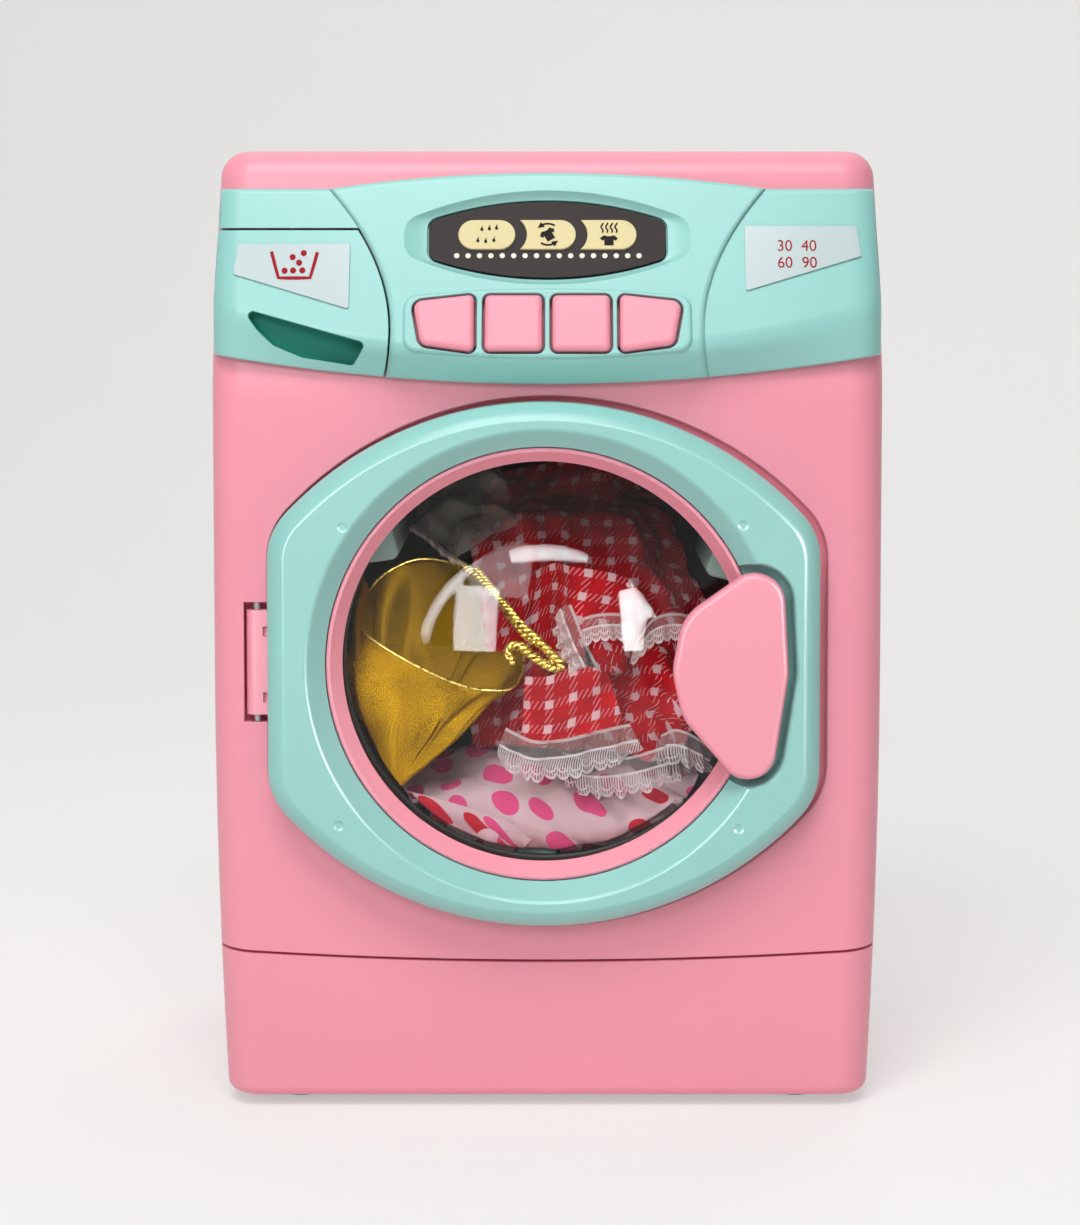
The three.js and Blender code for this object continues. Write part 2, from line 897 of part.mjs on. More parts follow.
// A pan-head screw that points to the front, with the underside of its head at a depth
function screw(x, z, seat, length) {
  const headRadius = screwHeadRadius;
  const crown = screwHeadHeight / 2;
  const profile = [
    [0, seat - length],
    [screwShaftRadius, seat - length + screwShaftRadius],
    [screwShaftRadius, seat],
    [headRadius, seat],
    [headRadius, seat + crown],
    [headRadius - crown, seat + screwHeadHeight],
    [0, seat + screwHeadHeight],
  ];
  return turnedY(profile, x, z, smallSegments);
}

const recessOutline = crowned(recessHalfWidth, recessHalfHeight, recessCrown, recessCorner);
const collarRadius = portRadius + casingWall;
const hingePocketLeft = hingeAxisX - pocketReach;
const latchHeight = doorHeight + latchLift;
const pegHeight = doorHeight - latchLift;
const pinHalfLength = pocketHalfHeight + hingePinBite;
const pilotGap = 0.15;

function buildFrontShell() {
  const front = box(-wide, wide, -cutOverrun, partingDepth, 0, casingHeight + cutOverrun);
  let body = hollowCasing.intersect(aboveSkirt).intersect(front);
  const recessWalls = [[casingWall / 2, -casingWall], [recessDepth + casingWall, -casingWall]];
  body = union(
    body,
    stack(recessOutline, recessWalls, 0, doorHeight),
    box(hingePocketLeft - casingWall, hingeAxisX + pocketReach, casingWall / 2, pocketFloor + casingWall,
      doorHeight - pinHalfLength - casingWall, doorHeight + pinHalfLength + casingWall),
    rodY(collarRadius, recessDepth, recessDepth + portCollar, 0, doorHeight, roundSegments),
  );
  for (const [x, z] of postPlaces) {
    body = union(body, rodY(postRadius, casingWall / 2, partingDepth, x, z));
  }
  const pinHole = pinHalfLength + seatGap;
  const slotHalf = latchHalfHeight + latchSlotGap;
  body = cut(
    body,
    stack(recessOutline, [[-cutOverrun, 0], [recessDepth, 0]], 0, doorHeight),
    box(hingePocketLeft, hingeAxisX + pocketReach, -cutOverrun, pocketFloor,
      doorHeight - pocketHalfHeight, doorHeight + pocketHalfHeight),
    rodY(portRadius, -cutOverrun, partingDepth, 0, doorHeight, roundSegments),
    rodZ(hingePinRadius + pilotGap, doorHeight - pinHole, doorHeight + pinHole, hingeAxisX, hingeAxisDepth),
    box(latchX - latchThick / 2 - latchSlotGap, latchX + latchThick / 2 + latchBarb + latchSlotGap,
      0, partingDepth, latchHeight - slotHalf, latchHeight + slotHalf),
    rodY(pegHoleRadius, 0, partingDepth / 2, latchX, pegHeight),
    box(trayLeft - runGap, trayRight + runGap, -cutOverrun, partingDepth / 2,
      trayBottom - runGap, trayTop + runGap),
    box(-openingHalfWidth, openingHalfWidth, -cutOverrun, partingDepth / 2, openingBottom, openingTop),
  );
  for (const [x, z] of postPlaces) {
    const pilotEnd = partingDepth - screwBite - seatGap;
    body = cut(body, rodY(screwShaftRadius + pilotGap, pilotEnd, partingDepth + cutOverrun, x, z));
  }
  return body;
}

const batteryTop = batteryLow + cellPitch * cellCount;
const coverTop = batteryTop + coverLedge;
const coverScrewHeight = batteryTop + coverLedge / 2 + batteryBoxWall / 2;
const coverScrewSeat = casingDepth - screwHeadHeight;
const coverScrewLength = coverShelf + coverScrewBite;

function buildRearShell() {
  const near = partingDepth + seatGap;
  const rear = box(-wide, wide, near, casingDepth + cutOverrun, 0, casingHeight + cutOverrun);
  let body = hollowCasing.intersect(aboveSkirt).intersect(rear);
  const rearMiddle = casingDepth - casingWall / 2;
  for (const [x, z] of postPlaces) {
    body = union(body, rodY(postRadius, near, rearMiddle, x, z));
  }
  const shelfHalf = batteryHalfWidth / 2;
  const behind = rearInner - cutOverrun;
  const switchReach = switchKnobHalf + switchTravel / 2;
  body = union(body, box(-shelfHalf, shelfHalf, rearInner - coverShelf - coverScrewBite, rearMiddle,
    batteryTop + batteryBoxWall, coverTop + batteryBoxWall));
  for (const [x, z] of postPlaces) {
    body = cut(
      body,
      rodY(screwShaftRadius + seatGap, near - cutOverrun, casingDepth, x, z),
      rodY(screwWellRadius, near + screwWellFloor, casingDepth + cutOverrun, x, z),
    );
  }
  body = cut(
    body,
    box(-batteryHalfWidth, batteryHalfWidth, behind, casingDepth + cutOverrun, batteryLow, batteryTop),
    box(-shelfHalf + seatGap, shelfHalf - seatGap, rearInner - coverShelf, casingDepth + cutOverrun,
      batteryTop + batteryBoxWall + seatGap, coverTop),
    box(-shelfHalf + seatGap, shelfHalf - seatGap, behind, casingDepth + cutOverrun,
      batteryTop - cutOverrun, coverTop),
    rodY(screwShaftRadius + pilotGap, coverScrewSeat - coverScrewLength - seatGap, casingDepth,
      0, coverScrewHeight),
    box(switchX - switchReach - runGap, switchX + switchReach + runGap,
      behind, casingDepth + cutOverrun, switchHeight - switchHalfHeight - runGap,
      switchHeight + switchHalfHeight + runGap),
  );
  for (let i = 0; i < grilleSlots; i += 1) {
    const x = speakerX + grillePitch * (i - (grilleSlots - 1) / 2);
    body = cut(body, box(x - grilleHalfWidth, x + grilleHalfWidth, behind, casingDepth + cutOverrun,
      speakerHeight - grilleHalfHeight, speakerHeight + grilleHalfHeight));
  }
  return body;
}

const footX = halfWidthBottom - footInset;
const footPlaces = [
  ['foot_front_left', -footX, footInset],
  ['foot_front_right', footX, footInset],
  ['foot_rear_left', -footX, casingDepth - footInset],
  ['foot_rear_right', footX, casingDepth - footInset],
];

function buildBase() {
  const lip = casingWall + seatGap;
  const low = skirtMiddle - tongueHeight;
  const high = skirtMiddle + tongueHeight;
  const tongue = cut(casing(lip), casing(lip + tongueWall))
    .intersect(box(-wide, wide, 0, casingDepth, low, high));
  const bracket = cut(casing(casingWall / 2), casing(lip + tongueWall))
    .intersect(box(-wide, wide, 0, casingDepth, low - tongueHeight / 2, low + tongueHeight / 2));
  let body = union(hollowCasing.intersect(belowSkirt), tongue, bracket);
  for (const [, x, y] of footPlaces) {
    body = cut(body, rodZ(footStubRadius + pilotGap, 0, plinthLift + casingWall + cutOverrun, x, y));
  }
  return body;
}

function buildFoot(x, y) {
  const disc = plinthLift - seatGap;
  return union(
    rodZ(footRadius, 0, disc, x, y, smallSegments * 2),
    rodZ(footStubRadius, disc / 2, disc + footStubHeight, x, y),
  );
}

add(machine, 'front_shell', buildFrontShell(), pink, 0.35);
add(machine, 'rear_shell', buildRearShell(), pink, 0.35);
add(machine, 'base', buildBase(), pink, 0.35);
for (const [name, x, y] of footPlaces) {
  add(machine, name, buildFoot(x, y), rubberGrey, 0.9);
}
const caseScrewSeat = partingDepth + seatGap + screwWellFloor + seatGap;
postPlaces.forEach(([x, z], i) => {
  const body = screw(x, z, caseScrewSeat, caseScrewSeat - partingDepth + screwBite);
  add(machine, `case_screw_${i + 1}`, body, steel, 0.35, 1);
});

// Console pieces

const displayPlate = crowned(displayHalfWidth, displayHalfHeight, displayCrown, displayCorner);
const displayFloor = displayDepth;
const bedOutline = crowned(bedHalfWidth, bedHalfHeight, bedCrown, bedCorner);

const buttonEdges = buttonEdgeShares.map((shares) => shares.map((share) => share * bedHalfWidth));
const buttonStemLength = buttonFlangeThick + seatGap + matRingHeight + matThick;

function buttonOutline(index) {
  const [left, right] = buttonEdges[index];
  const first = index === 0;
  const last = index === buttonEdges.length - 1;
  const a = first ? buttonOuterCorner : buttonCorner;
  const b = last ? buttonOuterCorner : buttonCorner;
  const leftSide = first ? 1 : 0;
  const rightSide = last ? 1 : 0;
  const low = -buttonHalfHeight;
  const high = buttonHalfHeight;
  return banded([
    [left + leftSide * buttonSlant + a, low + leftSide * buttonOuterRise + a, a],
    [right - rightSide * buttonSlant - b, low + rightSide * buttonOuterRise + b, b],
    [right - b, high - rightSide * buttonOuterDrop - b, b],
    [left + a, high - leftSide * buttonOuterDrop - a, a],
  ]);
}

const consoleInside = panelWall + middleStep;
const buttonBack = consoleInside + seatGap;
const matFront = buttonBack + buttonFlangeThick + buttonTravel + seatGap + matRingHeight;
const boardFront = matFront + matThick + seatGap;

function buildControlPanel() {
  const middle = panelForm(middleStep, middleTopAt, 0).intersect(seamPrism(0, -wide, wide));
  const wings = panelForm(0, wingTopAt, 0);
  const bed = onConsole(stack(bedOutline, roundedLevels(0, bedSink, bedRound), 0, bedLift));
  let body = cut(union(middle, wings, bed), drawerPrism(0, -wide, wide));
  body = body.intersect(panelSides());
  const hollow = panelForm(-panelWall, middleTopAt, panelWall).intersect(seamPrism(-panelWall, -wide, wide));
  body = cut(body, hollow);
  const lip = crowned(displayHalfWidth + displaySlope, displayHalfHeight + displaySlopeHeight, displayCrown,
    displayCorner + displaySlopeHeight);
  const plateRim = displayPlate(-runGap);
  const floorRing = displayPlate(displayLedge);
  const levels = [
    lip(0).map((point) => new THREE.Vector3(point.x, -displayWindowDepth, point.y + displayLift)),
    lip(0).map((point) => new THREE.Vector3(point.x, 0, point.y + displayLift)),
    plateRim.map((point) => new THREE.Vector3(point.x, displayFloor - displayThick, point.y + displayLift)),
    plateRim.map((point) => new THREE.Vector3(point.x, displayFloor, point.y + displayLift)),
  ];
  const seatBack = displayFloor + displayWindowDepth;
  const seat = stack(displayPlate, [[0, -displayLedge], [seatBack, -displayLedge]], 0, displayLift);
  const through = [-cutOverrun, bedSink * 2].map((depth) =>
    floorRing.map((point) => new THREE.Vector3(point.x, depth, point.y + displayLift)));
  const seatRing = onConsole(cut(seat, loft(through, 'x', 'z')));
  body = union(body, seatRing.intersect(panelForm(middleStep, middleTopAt, 0)));
  body = cut(body, onConsole(loft(levels, 'x', 'z')), onConsole(loft(through, 'x', 'z')));
  const pocket = box(-bedHalfWidth + bedWall, bedHalfWidth - bedWall, consoleInside, panelRoot,
    -bedPocketLow, bedPocketHigh);
  body = cut(body, onConsole(pocket).intersect(panelForm(-bedWall, middleTopAt, bedWall)));
  buttonEdges.forEach((edges, i) => {
    body = cut(body, onConsole(stack(buttonOutline(i), [[-cutOverrun, 0], [bedSink * 2, 0]])));
  });
  for (const x of [-standX, standX]) {
    body = union(body, onConsole(rodY(standRadius, panelWall, boardFront - seatGap, x, standHeight)));
  }
  return cut(body, casingGrown);
}

function lensOutline(index) {
  const x = lensPitch * (index - 1);
  const straight = lensHalfLength - lensHalfHeight;
  const shape = new THREE.Shape();
  const quarter = Math.PI / 2;
  shape.absarc(x + straight, lensHeight, lensHalfHeight, -quarter, quarter, false);
  if (index === 0) {
    shape.absarc(x - straight, lensHeight, lensHalfHeight, quarter, quarter * 3, false);
  } else {
    const hollowX = x - lensPitch + straight + lensHollowShift;
    const hollowRadius = lensHalfHeight + lensHollowShift;
    const turn = Math.asin(lensHalfHeight / hollowRadius);
    shape.absarc(hollowX, lensHeight, hollowRadius, turn, -turn, true);
  }
  shape.closePath();
  return shape;
}

function buildDisplayPlate() {
  const front = displayDepth - seatGap - displayThick;
  return stack(displayPlate, [[front, 0], [front + displayThick, 0]], 0, displayLift);
}

function buildLens(index) {
  const front = displayDepth - seatGap * 2 - displayThick;
  return frontPrism(lensOutline(index), front - lensThick, front);
}

function buildButton(index) {
  const outline = buttonOutline(index);
  const [left, right] = buttonEdges[index];
  const middle = (left + right) / 2;
  const inside = buttonBack;
  const cap = stack(outline, roundedLevels(-buttonProud, inside + buttonFlangeThick, buttonRound)
    .map(([depth, inset]) => [depth, inset + buttonGap]));
  const outer = index === 0 || index === buttonEdges.length - 1;
  const flangeLow = buttonGap - buttonHalfHeight + (outer ? buttonFlangeRise : 0);
  const flange = box(left - buttonFlangeSide, right + buttonFlangeSide, inside, inside + buttonFlangeThick,
    flangeLow, buttonHalfHeight + buttonFlange);
  return union(cap, flange, rodY(buttonStemRadius, inside, inside + buttonStemLength, middle, 0));
}

function buildKeyMat() {
  const half = boardHalfWidth - seatGap;
  let body = box(-half, half, matFront, matFront + matThick, -matHalfHeight, matHalfHeight);
  const middles = buttonEdges.map(([left, right]) => (left + right) / 2);
  for (const x of middles) {
    body = union(body, rodY(matRingRadius, matFront - matRingHeight, matFront + matThick / 2, x, 0));
  }
  for (const x of middles) {
    body = cut(body, rodY(matHoleRadius, matFront - cutOverrun * 2, matFront + cutOverrun * 2, x, 0));
  }
  return body;
}

function buildBoard() {
  return box(-boardHalfWidth, boardHalfWidth, boardFront, boardFront + boardThick, -boardLow, boardHigh);
}

// A thin sheet that follows the panel's face, cut to an outline
function buildLabel(corners) {
  const sheet = cut(panelForm(labelLift + labelThick, wingTopAt, 0), panelForm(labelLift, wingTopAt, 0));
  return sheet.intersect(stack(banded(corners, edgeSteps), [[-wide, 0], [panelRoot / 2, 0]]));
}

function mirrored(corners) {
  return corners.map(([x, z, radius]) => [-x, z, radius]).reverse();
}

function labelCorners(raise) {
  const inner = labelInner + labelCorner;
  const outer = labelOuter - labelCorner;
  return [
    [inner, labelInnerLow + labelCorner + raise, labelCorner],
    [outer, labelOuterLow + labelCorner + raise, labelCorner],
    [outer, labelTop - labelCorner + raise, labelCorner],
    [inner, labelTop - labelCorner + raise, labelCorner],
  ];
}

const drawerFace = drawerPrism(drawerGap, -wide, wide);

const gripCircles = gripShares.map(([across, up]) =>
  [gripLeft + (gripRight - gripLeft) * across, gripLow + (gripHigh - gripLow) * up, gripRound]);

function buildDrawerFront() {
  const face = panelForm(0, wingTopAt, 0).intersect(drawerFace).intersect(panelSides());
  const grip = stack(banded(gripCircles), [[-wide, 0], [gripFloorDepth, 0]]);
  const plug = box(trayLeft, trayRight, -panelReach, trayFrontDepth - seatGap, trayBottom, trayTop)
    .intersect(panelForm(-trayWall, wingTopAt, 0));
  return union(cut(face, casingGrown, grip), plug);
}

function buildDrawerTray() {
  const left = trayLeft + trayWall;
  const right = trayRight - trayWall;
  const divider = trayDividerX;
  const half = trayWall / 2;
  const floor = trayBottom + trayWall;
  const near = trayFrontDepth + trayWall;
  const far = trayBackDepth - trayWall;
  return cut(
    box(trayLeft, trayRight, trayFrontDepth, trayBackDepth, trayBottom, trayTop),
    box(left, divider - half, near, far, floor, trayTop + cutOverrun),
    box(divider + half, right, near, far, floor, trayTop + cutOverrun),
  );
}

function buildDrawerHousing() {
  const near = faceDepthAt(trayTop) + casingWall * 2;
  const gap = seatGap;
  const wall = gap + housingWall;
  return cut(
    box(trayLeft - wall, trayRight + wall, near, housingBackDepth, trayBottom - wall, trayTop + wall),
    box(trayLeft - gap, trayRight + gap, near - cutOverrun, housingBackDepth - housingWall,
      trayBottom - gap, trayTop + gap),
  );
}

add(machine, 'control_panel', buildControlPanel(), mint, 0.4);
add(consoleGroup, 'display_plate', buildDisplayPlate(), darkPlate, 0.25);
for (let i = 0; i < 3; i += 1) {
  add(consoleGroup, `display_lens_${i + 1}`, buildLens(i), cream, 0.3);
}
buttonEdges.forEach((edges, i) => {
  add(consoleGroup, `button_${i + 1}`, buildButton(i), pink, 0.35);
});
add(consoleGroup, 'key_mat', buildKeyMat(), rubberGrey, 0.9);
add(consoleGroup, 'control_board', buildBoard(), boardGreen, 0.6);
add(machine, 'drawer_front', buildDrawerFront(), mint, 0.4);
add(machine, 'drawer_tray', buildDrawerTray(), deepMint, 0.4);
add(machine, 'drawer_housing', buildDrawerHousing(), deepMint, 0.5);
add(machine, 'drawer_label', buildLabel(mirrored(labelCorners(0))), labelSilver, 0.3);
add(machine, 'panel_label', buildLabel(labelCorners(panelLabelRaise)), labelSilver, 0.3);

// Door pieces

const doorHalfWidth = recessHalfWidth - (doorSideGap + doorFreeGap) / 2;
const doorX = (doorSideGap - doorFreeGap) / 2;
const doorOutline = crowned(doorHalfWidth, doorHalfHeight, doorCrown, doorCorner);
const doorBack = recessDepth - doorBackGap;
const frameFront = doorBack - framePlate;
const ringBack = frameFront - seatGap;
const doorFront = -doorProud;
const bezelFront = doorFront + coneDepth;
const handleCircles = handleCircleShares.map(([x, z, radius]) =>
  [handleRightX + x * handleReach, z * handleReach, radius * handleReach]);
const handleOutline = banded(handleCircles);
const handleFront = doorFront - handleProud;
const handleBack = handleFront + handleThick;
const notchFloor = doorFront + handleNotchDepth;
const doorBosses = [doorBossZ, -doorBossZ].flatMap((z) =>
  [[doorX - doorBossX, doorHeight + z], [doorX + doorBossX, doorHeight + z]]);

function ringLevels(front, back) {
  return [
    [front, doorBevelWidth],
    [front + doorBevelDepth * bevelShares[0][0], doorBevelWidth * bevelShares[0][1]],
    [front + doorBevelDepth * bevelShares[1][0], doorBevelWidth * bevelShares[1][1]],
    [front + doorBevelDepth, 0],
    [back, 0],
  ];
}

function buildDoorRing() {
  const outer = stack(doorOutline, ringLevels(doorFront, ringBack), doorX, doorHeight);
  const innerLevels = ringLevels(doorFront + doorWall, ringBack + cutOverrun)
    .map(([depth, inset]) => [depth, inset + doorWall]);
  const inner = stack(doorOutline, innerLevels, doorX, doorHeight);
  const coneWallRadius = coneOuterRadius + doorWall;
  const coneWall = rodY(coneWallRadius, doorFront, ringBack + cutOverrun, doorX, doorHeight, roundSegments);
  let body = cut(outer, cut(inner, coneWall));
  for (const [x, z] of doorBosses) {
    body = union(body, rodY(doorBossRadius, doorFront + doorWall / 2, ringBack, x, z));
  }
  const notch = stack(
    handleOutline,
    [[doorFront - cutOverrun, -handleNotch], [notchFloor, -handleNotch]],
    doorX,
    doorHeight,
  );
  const notchWall = stack(
    handleOutline,
    [[doorFront, -handleNotch - doorWall], [notchFloor + doorWall, -handleNotch - doorWall]],
    doorX,
    doorHeight,
  );
  body = union(body, notchWall.intersect(outer));
  const flare = (coneOuterRadius - coneInnerRadius) / coneDepth;
  const bore = turnedY([
    [0, doorFront - cutOverrun],
    [coneOuterRadius + flare * cutOverrun, doorFront - cutOverrun],
    [coneInnerRadius, bezelFront],
    [coneInnerRadius, ringBack + cutOverrun],
    [0, ringBack + cutOverrun],
  ], doorX, doorHeight);
  body = cut(body, notch, bore);
  for (const [x, z] of doorBosses) {
    const floor = doorFront + doorWall + doorBossFloor;
    body = cut(body, rodY(screwShaftRadius + pilotGap, floor, ringBack + cutOverrun, x, z));
  }
  return body;
}

const bezelRadius = coneInnerRadius - seatGap;
const windowRadius = bezelLipRadius + windowRim;
const windowFront = frameFront + seatGap;
const doorScrewSeat = doorBack - screwHeadHeight;

function buildDoorFrame() {
  const plate = stack(doorOutline, [[frameFront, frameInset], [doorBack, frameInset]], doorX, doorHeight);
  const bezel = turnedY([
    [0, bezelFront],
    [bezelRadius, bezelFront],
    [bezelRadius, doorBack],
    [0, doorBack],
  ], doorX, doorHeight);
  const leafLeft = hingeAxisX;
  const leaf = box(leafLeft, leafLeft + leafReach + knuckleRadius, hingeAxisDepth - knuckleRadius, doorBack,
    doorHeight - leafHalfHeight, doorHeight + leafHalfHeight);
  const knuckle = rodZ(knuckleRadius, doorHeight - leafHalfHeight, doorHeight + leafHalfHeight, hingeAxisX,
    hingeAxisDepth, smallSegments * 2);
  const clearLevels = [[doorFront, -seatGap], [frameFront - seatGap / 2, -seatGap]];
  const ringClear = stack(doorOutline, clearLevels, doorX, doorHeight);
  const latch = box(latchX - latchThick / 2, latchX + latchThick / 2, frameFront, doorBack + latchReach,
    latchHeight - latchHalfHeight, latchHeight + latchHalfHeight);
  const latchEnd = doorBack + latchReach;
  const barb = box(latchX, latchX + latchThick / 2 + latchBarb, latchEnd - latchThick, latchEnd,
    latchHeight - latchHalfHeight, latchHeight + latchHalfHeight);
  const peg = rodY(pegRadius, frameFront, doorBack + pegReach, latchX, pegHeight);
  let body = union(plate, bezel, cut(union(leaf, knuckle), ringClear), latch, barb, peg);
  const window = turnedY([
    [0, bezelFront - cutOverrun],
    [bezelRadius - bezelEdge, bezelFront - cutOverrun],
    [bezelRadius - bezelEdge, bezelFront],
    [bezelLipRadius, windowFront - bezelLipDepth],
    [bezelLipRadius, windowFront - seatGap],
    [windowRadius + seatGap, windowFront - seatGap],
    [windowRadius + seatGap, doorBack + cutOverrun],
    [0, doorBack + cutOverrun],
  ], doorX, doorHeight);
  body = cut(body, window, rodZ(hingePinRadius + pilotGap, 0, casingHeight, hingeAxisX, hingeAxisDepth));
  for (const [x, z] of doorBosses) {
    body = cut(
      body,
      rodY(screwShaftRadius + seatGap, frameFront - cutOverrun, doorBack + cutOverrun, x, z),
      rodY(screwHeadRadius + seatGap, doorScrewSeat - seatGap, doorBack + cutOverrun, x, z),
    );
  }
  return body;
}

function buildWindow() {
  const profile = [];
  const back = windowFront + windowThick;
  const dome = (radius, height, depth) => {
    const sphere = (radius ** 2 + height ** 2) / (2 * height);
    const turn = Math.asin(radius / sphere);
    const points = [];
    for (let i = 0; i <= bendSteps; i += 1) {
      const angle = (turn * i) / bendSteps;
      points.push([sphere * Math.sin(angle), depth - height + sphere * (1 - Math.cos(angle))]);
    }
    return points;
  };
  profile.push(...dome(domeRadius, domeHeight, windowFront));
  profile.push([windowRadius, windowFront], [windowRadius, back]);
  profile.push(...dome(domeRadius - windowThick, domeHeight, back).reverse());
  return turnedY(profile, doorX, doorHeight);
}

function buildHandle() {
  const pad = stack(handleOutline, roundedLevels(handleFront, handleBack, handleRound), doorX, doorHeight);
  const right = doorX + handleRightX - stemInset;
  const middle = doorHeight - stemDrop;
  const stem = box(right - stemReach, right, handleBack - handleRound, notchFloor - seatGap,
    middle - stemHalfHeight, middle + stemHalfHeight);
  return union(pad, stem);
}

function buildHingePin() {
  const low = doorHeight - pinHalfLength;
  return rodZ(hingePinRadius, low, low + pinHalfLength * 2, hingeAxisX, hingeAxisDepth);
}

add(machine, 'door_ring', buildDoorRing(), mint, 0.35);
add(machine, 'door_frame', buildDoorFrame(), pink, 0.35);
add(machine, 'door_window', buildWindow(), clearGrey, 0.1);
add(machine, 'door_handle', buildHandle(), pink, 0.35);
add(machine, 'hinge_pin', buildHingePin(), steel, 0.35, 1);
doorBosses.forEach(([x, z], i) => {
  add(machine, `door_screw_${i + 1}`, screw(x, z, doorScrewSeat, doorScrewLength), steel, 0.35, 1);
});

// Drum, vanes and tub

const drumBack = drumFrontDepth + drumLength;
const drumInner = drumRadius - drumWall;
const tubFront = recessDepth + casingWall + seatGap;
const tubInner = collarRadius + seatGap;
const tubOuter = tubInner + tubWall;
const tubInnerBack = drumBack + tubRearGap;
const tubBack = tubInnerBack + tubWall;
const bushRadius = axleRadius + axleGap + bushWall;
const layerStep = gearWidth + gearLayerGap;
const layerOne = tubBack + bushFlangeThick + gearLayerGap;
const axleNear = drumBack - drumHubLength + drumWall;
const axleFar = layerOne + gearWidth;

function buildDrum() {
  const lip = drumLip;
  return turnedY([
    [drumRadius, drumFrontDepth + drumWall],
    [drumRadius, drumBack],
    [axleRadius + axleGap, drumBack],
    [axleRadius + axleGap, drumBack - drumHubLength],
    [drumHubRadius, drumBack - drumHubLength],
    [drumConeRadius, drumBack - drumWall * 2],
    [drumInner - drumWall, drumBack - drumWall],
    [drumInner, drumBack - drumWall * 2],
    [drumInner, drumFrontDepth + lip],
    [drumMouth, drumFrontDepth + drumWall],
    [drumMouth, drumFrontDepth],
    [drumRadius - drumWall, drumFrontDepth],
    [drumRadius, drumFrontDepth + drumWall],
  ], 0, doorHeight);
}

function buildVane(index, grow = 0) {
  const angle = vaneStart + (index * Math.PI * 2) / vaneCount;
  const outer = drumInner - seatGap;
  const foot = Math.sqrt(outer ** 2 - vaneFoot ** 2);
  const outline = banded([
    [foot - vaneEdge, -vaneFoot + vaneEdge, vaneEdge],
    [foot - vaneEdge, vaneFoot - vaneEdge, vaneEdge],
    [outer - vaneHeight + vaneTop, 0, vaneTop],
  ], bendSteps);
  const near = drumFrontDepth + vaneMargin - grow;
  const far = drumBack - drumWall * 2 - seatGap + grow;
  const rows = [[near, vaneEdge], [near + vaneEdge * 2, 0], [far, 0]].map(([depth, inset]) =>
    outline(inset / 2 - grow).map((point) => {
      const turned = point.clone().rotateAround(new THREE.Vector2(), angle);
      return new THREE.Vector3(turned.x, depth, turned.y + doorHeight);
    }));
  return loft(rows, 'x', 'z');
}

const platePosts = platePostShares.map((shares) => shares.map((share) => share * drumGearRadius));

function buildTub() {
  let body = turnedY([
    [tubOuter, tubFront],
    [tubOuter, tubBack],
    [bushRadius + seatGap, tubBack],
    [bushRadius + seatGap, tubInnerBack],
    [tubInner, tubInnerBack],
    [tubInner, tubFront],
    [tubOuter, tubFront],
  ], 0, doorHeight);
  for (const [x, z] of platePosts) {
    body = union(body, rodY(platePostRadius, tubBack - tubWall / 2, plateFront - seatGap, x, doorHeight + z));
  }
  return body;
}

function buildBush() {
  const inner = axleRadius + axleGap;
  const flange = bushRadius + bushFlange;
  return turnedY([
    [inner, tubInnerBack - seatGap],
    [bushRadius, tubInnerBack - seatGap],
    [bushRadius, tubBack + seatGap],
    [flange, tubBack + seatGap],
    [flange, tubBack + bushFlangeThick],
    [inner, tubBack + bushFlangeThick],
    [inner, tubInnerBack - seatGap],
  ], 0, doorHeight, smallSegments * 2);
}

// Gears: straight teeth on a root circle, with play between meshing flanks

function gearOutline(teeth, turn) {
  const pitchRadius = (teeth * gearModule) / 2;
  const root = pitchRadius - gearModule * rootShare;
  const tip = pitchRadius + gearModule * tipShare;
  const step = (Math.PI * 2) / teeth;
  const flank = [[-footHalfShare, root], [-tipHalfShare, tip], [tipHalfShare, tip], [footHalfShare, root]];
  const points = [];
  for (let i = 0; i < teeth; i += 1) {
    for (const [share, radius] of flank) {
      const angle = turn + step * (i + share);
      points.push(new THREE.Vector2(radius * Math.cos(angle), radius * Math.sin(angle)));
    }
  }
  return points;
}

function gearSlice(teeth, turn, near, far, x, z) {
  const rows = [near, far].map((depth) =>
    gearOutline(teeth, turn).map((point) => new THREE.Vector3(point.x + x, depth, point.y + z)));
  return loft(rows, 'x', 'z');
}

// Each gear sits one centre distance from the one before, and its teeth point into a space of it
const gearPlaces = [[0, doorHeight]];
const meshTeeth = [[drumGearTeeth, pinionTeeth], [wheelTeeth, pinionTeeth], [wheelTeeth, pinionTeeth]];
meshTeeth.forEach(([driver, driven], i) => {
  const reach = ((driver + driven) * gearModule) / 2;
  const [x, z] = gearPlaces[i];
  gearPlaces.push([x + reach * Math.cos(gearAngles[i]), z + reach * Math.sin(gearAngles[i])]);
});

function layer(index) {
  return layerOne + layerStep * index;
}

const plateFront = layer(meshTeeth.length) + gearLayerGap;
const plateBack = plateFront + plateThick;

// A tooth of the larger gear points along its mesh line, and a space of the smaller one meets it
function turnOnto(angle, teeth, space) {
  return angle + (space ? Math.PI / teeth : 0);
}

function buildDrumGear() {
  const turn = turnOnto(gearAngles[0], drumGearTeeth, false);
  const body = gearSlice(drumGearTeeth, turn, layer(0), layer(0) + gearWidth, ...gearPlaces[0]);
  const segments = smallSegments * 2;
  const near = layer(0) - cutOverrun;
  const far = layer(1) + cutOverrun;
  const bore = rodY(axleRadius + axleGap, near, far, ...gearPlaces[0], segments);
  return cut(body, bore);
}

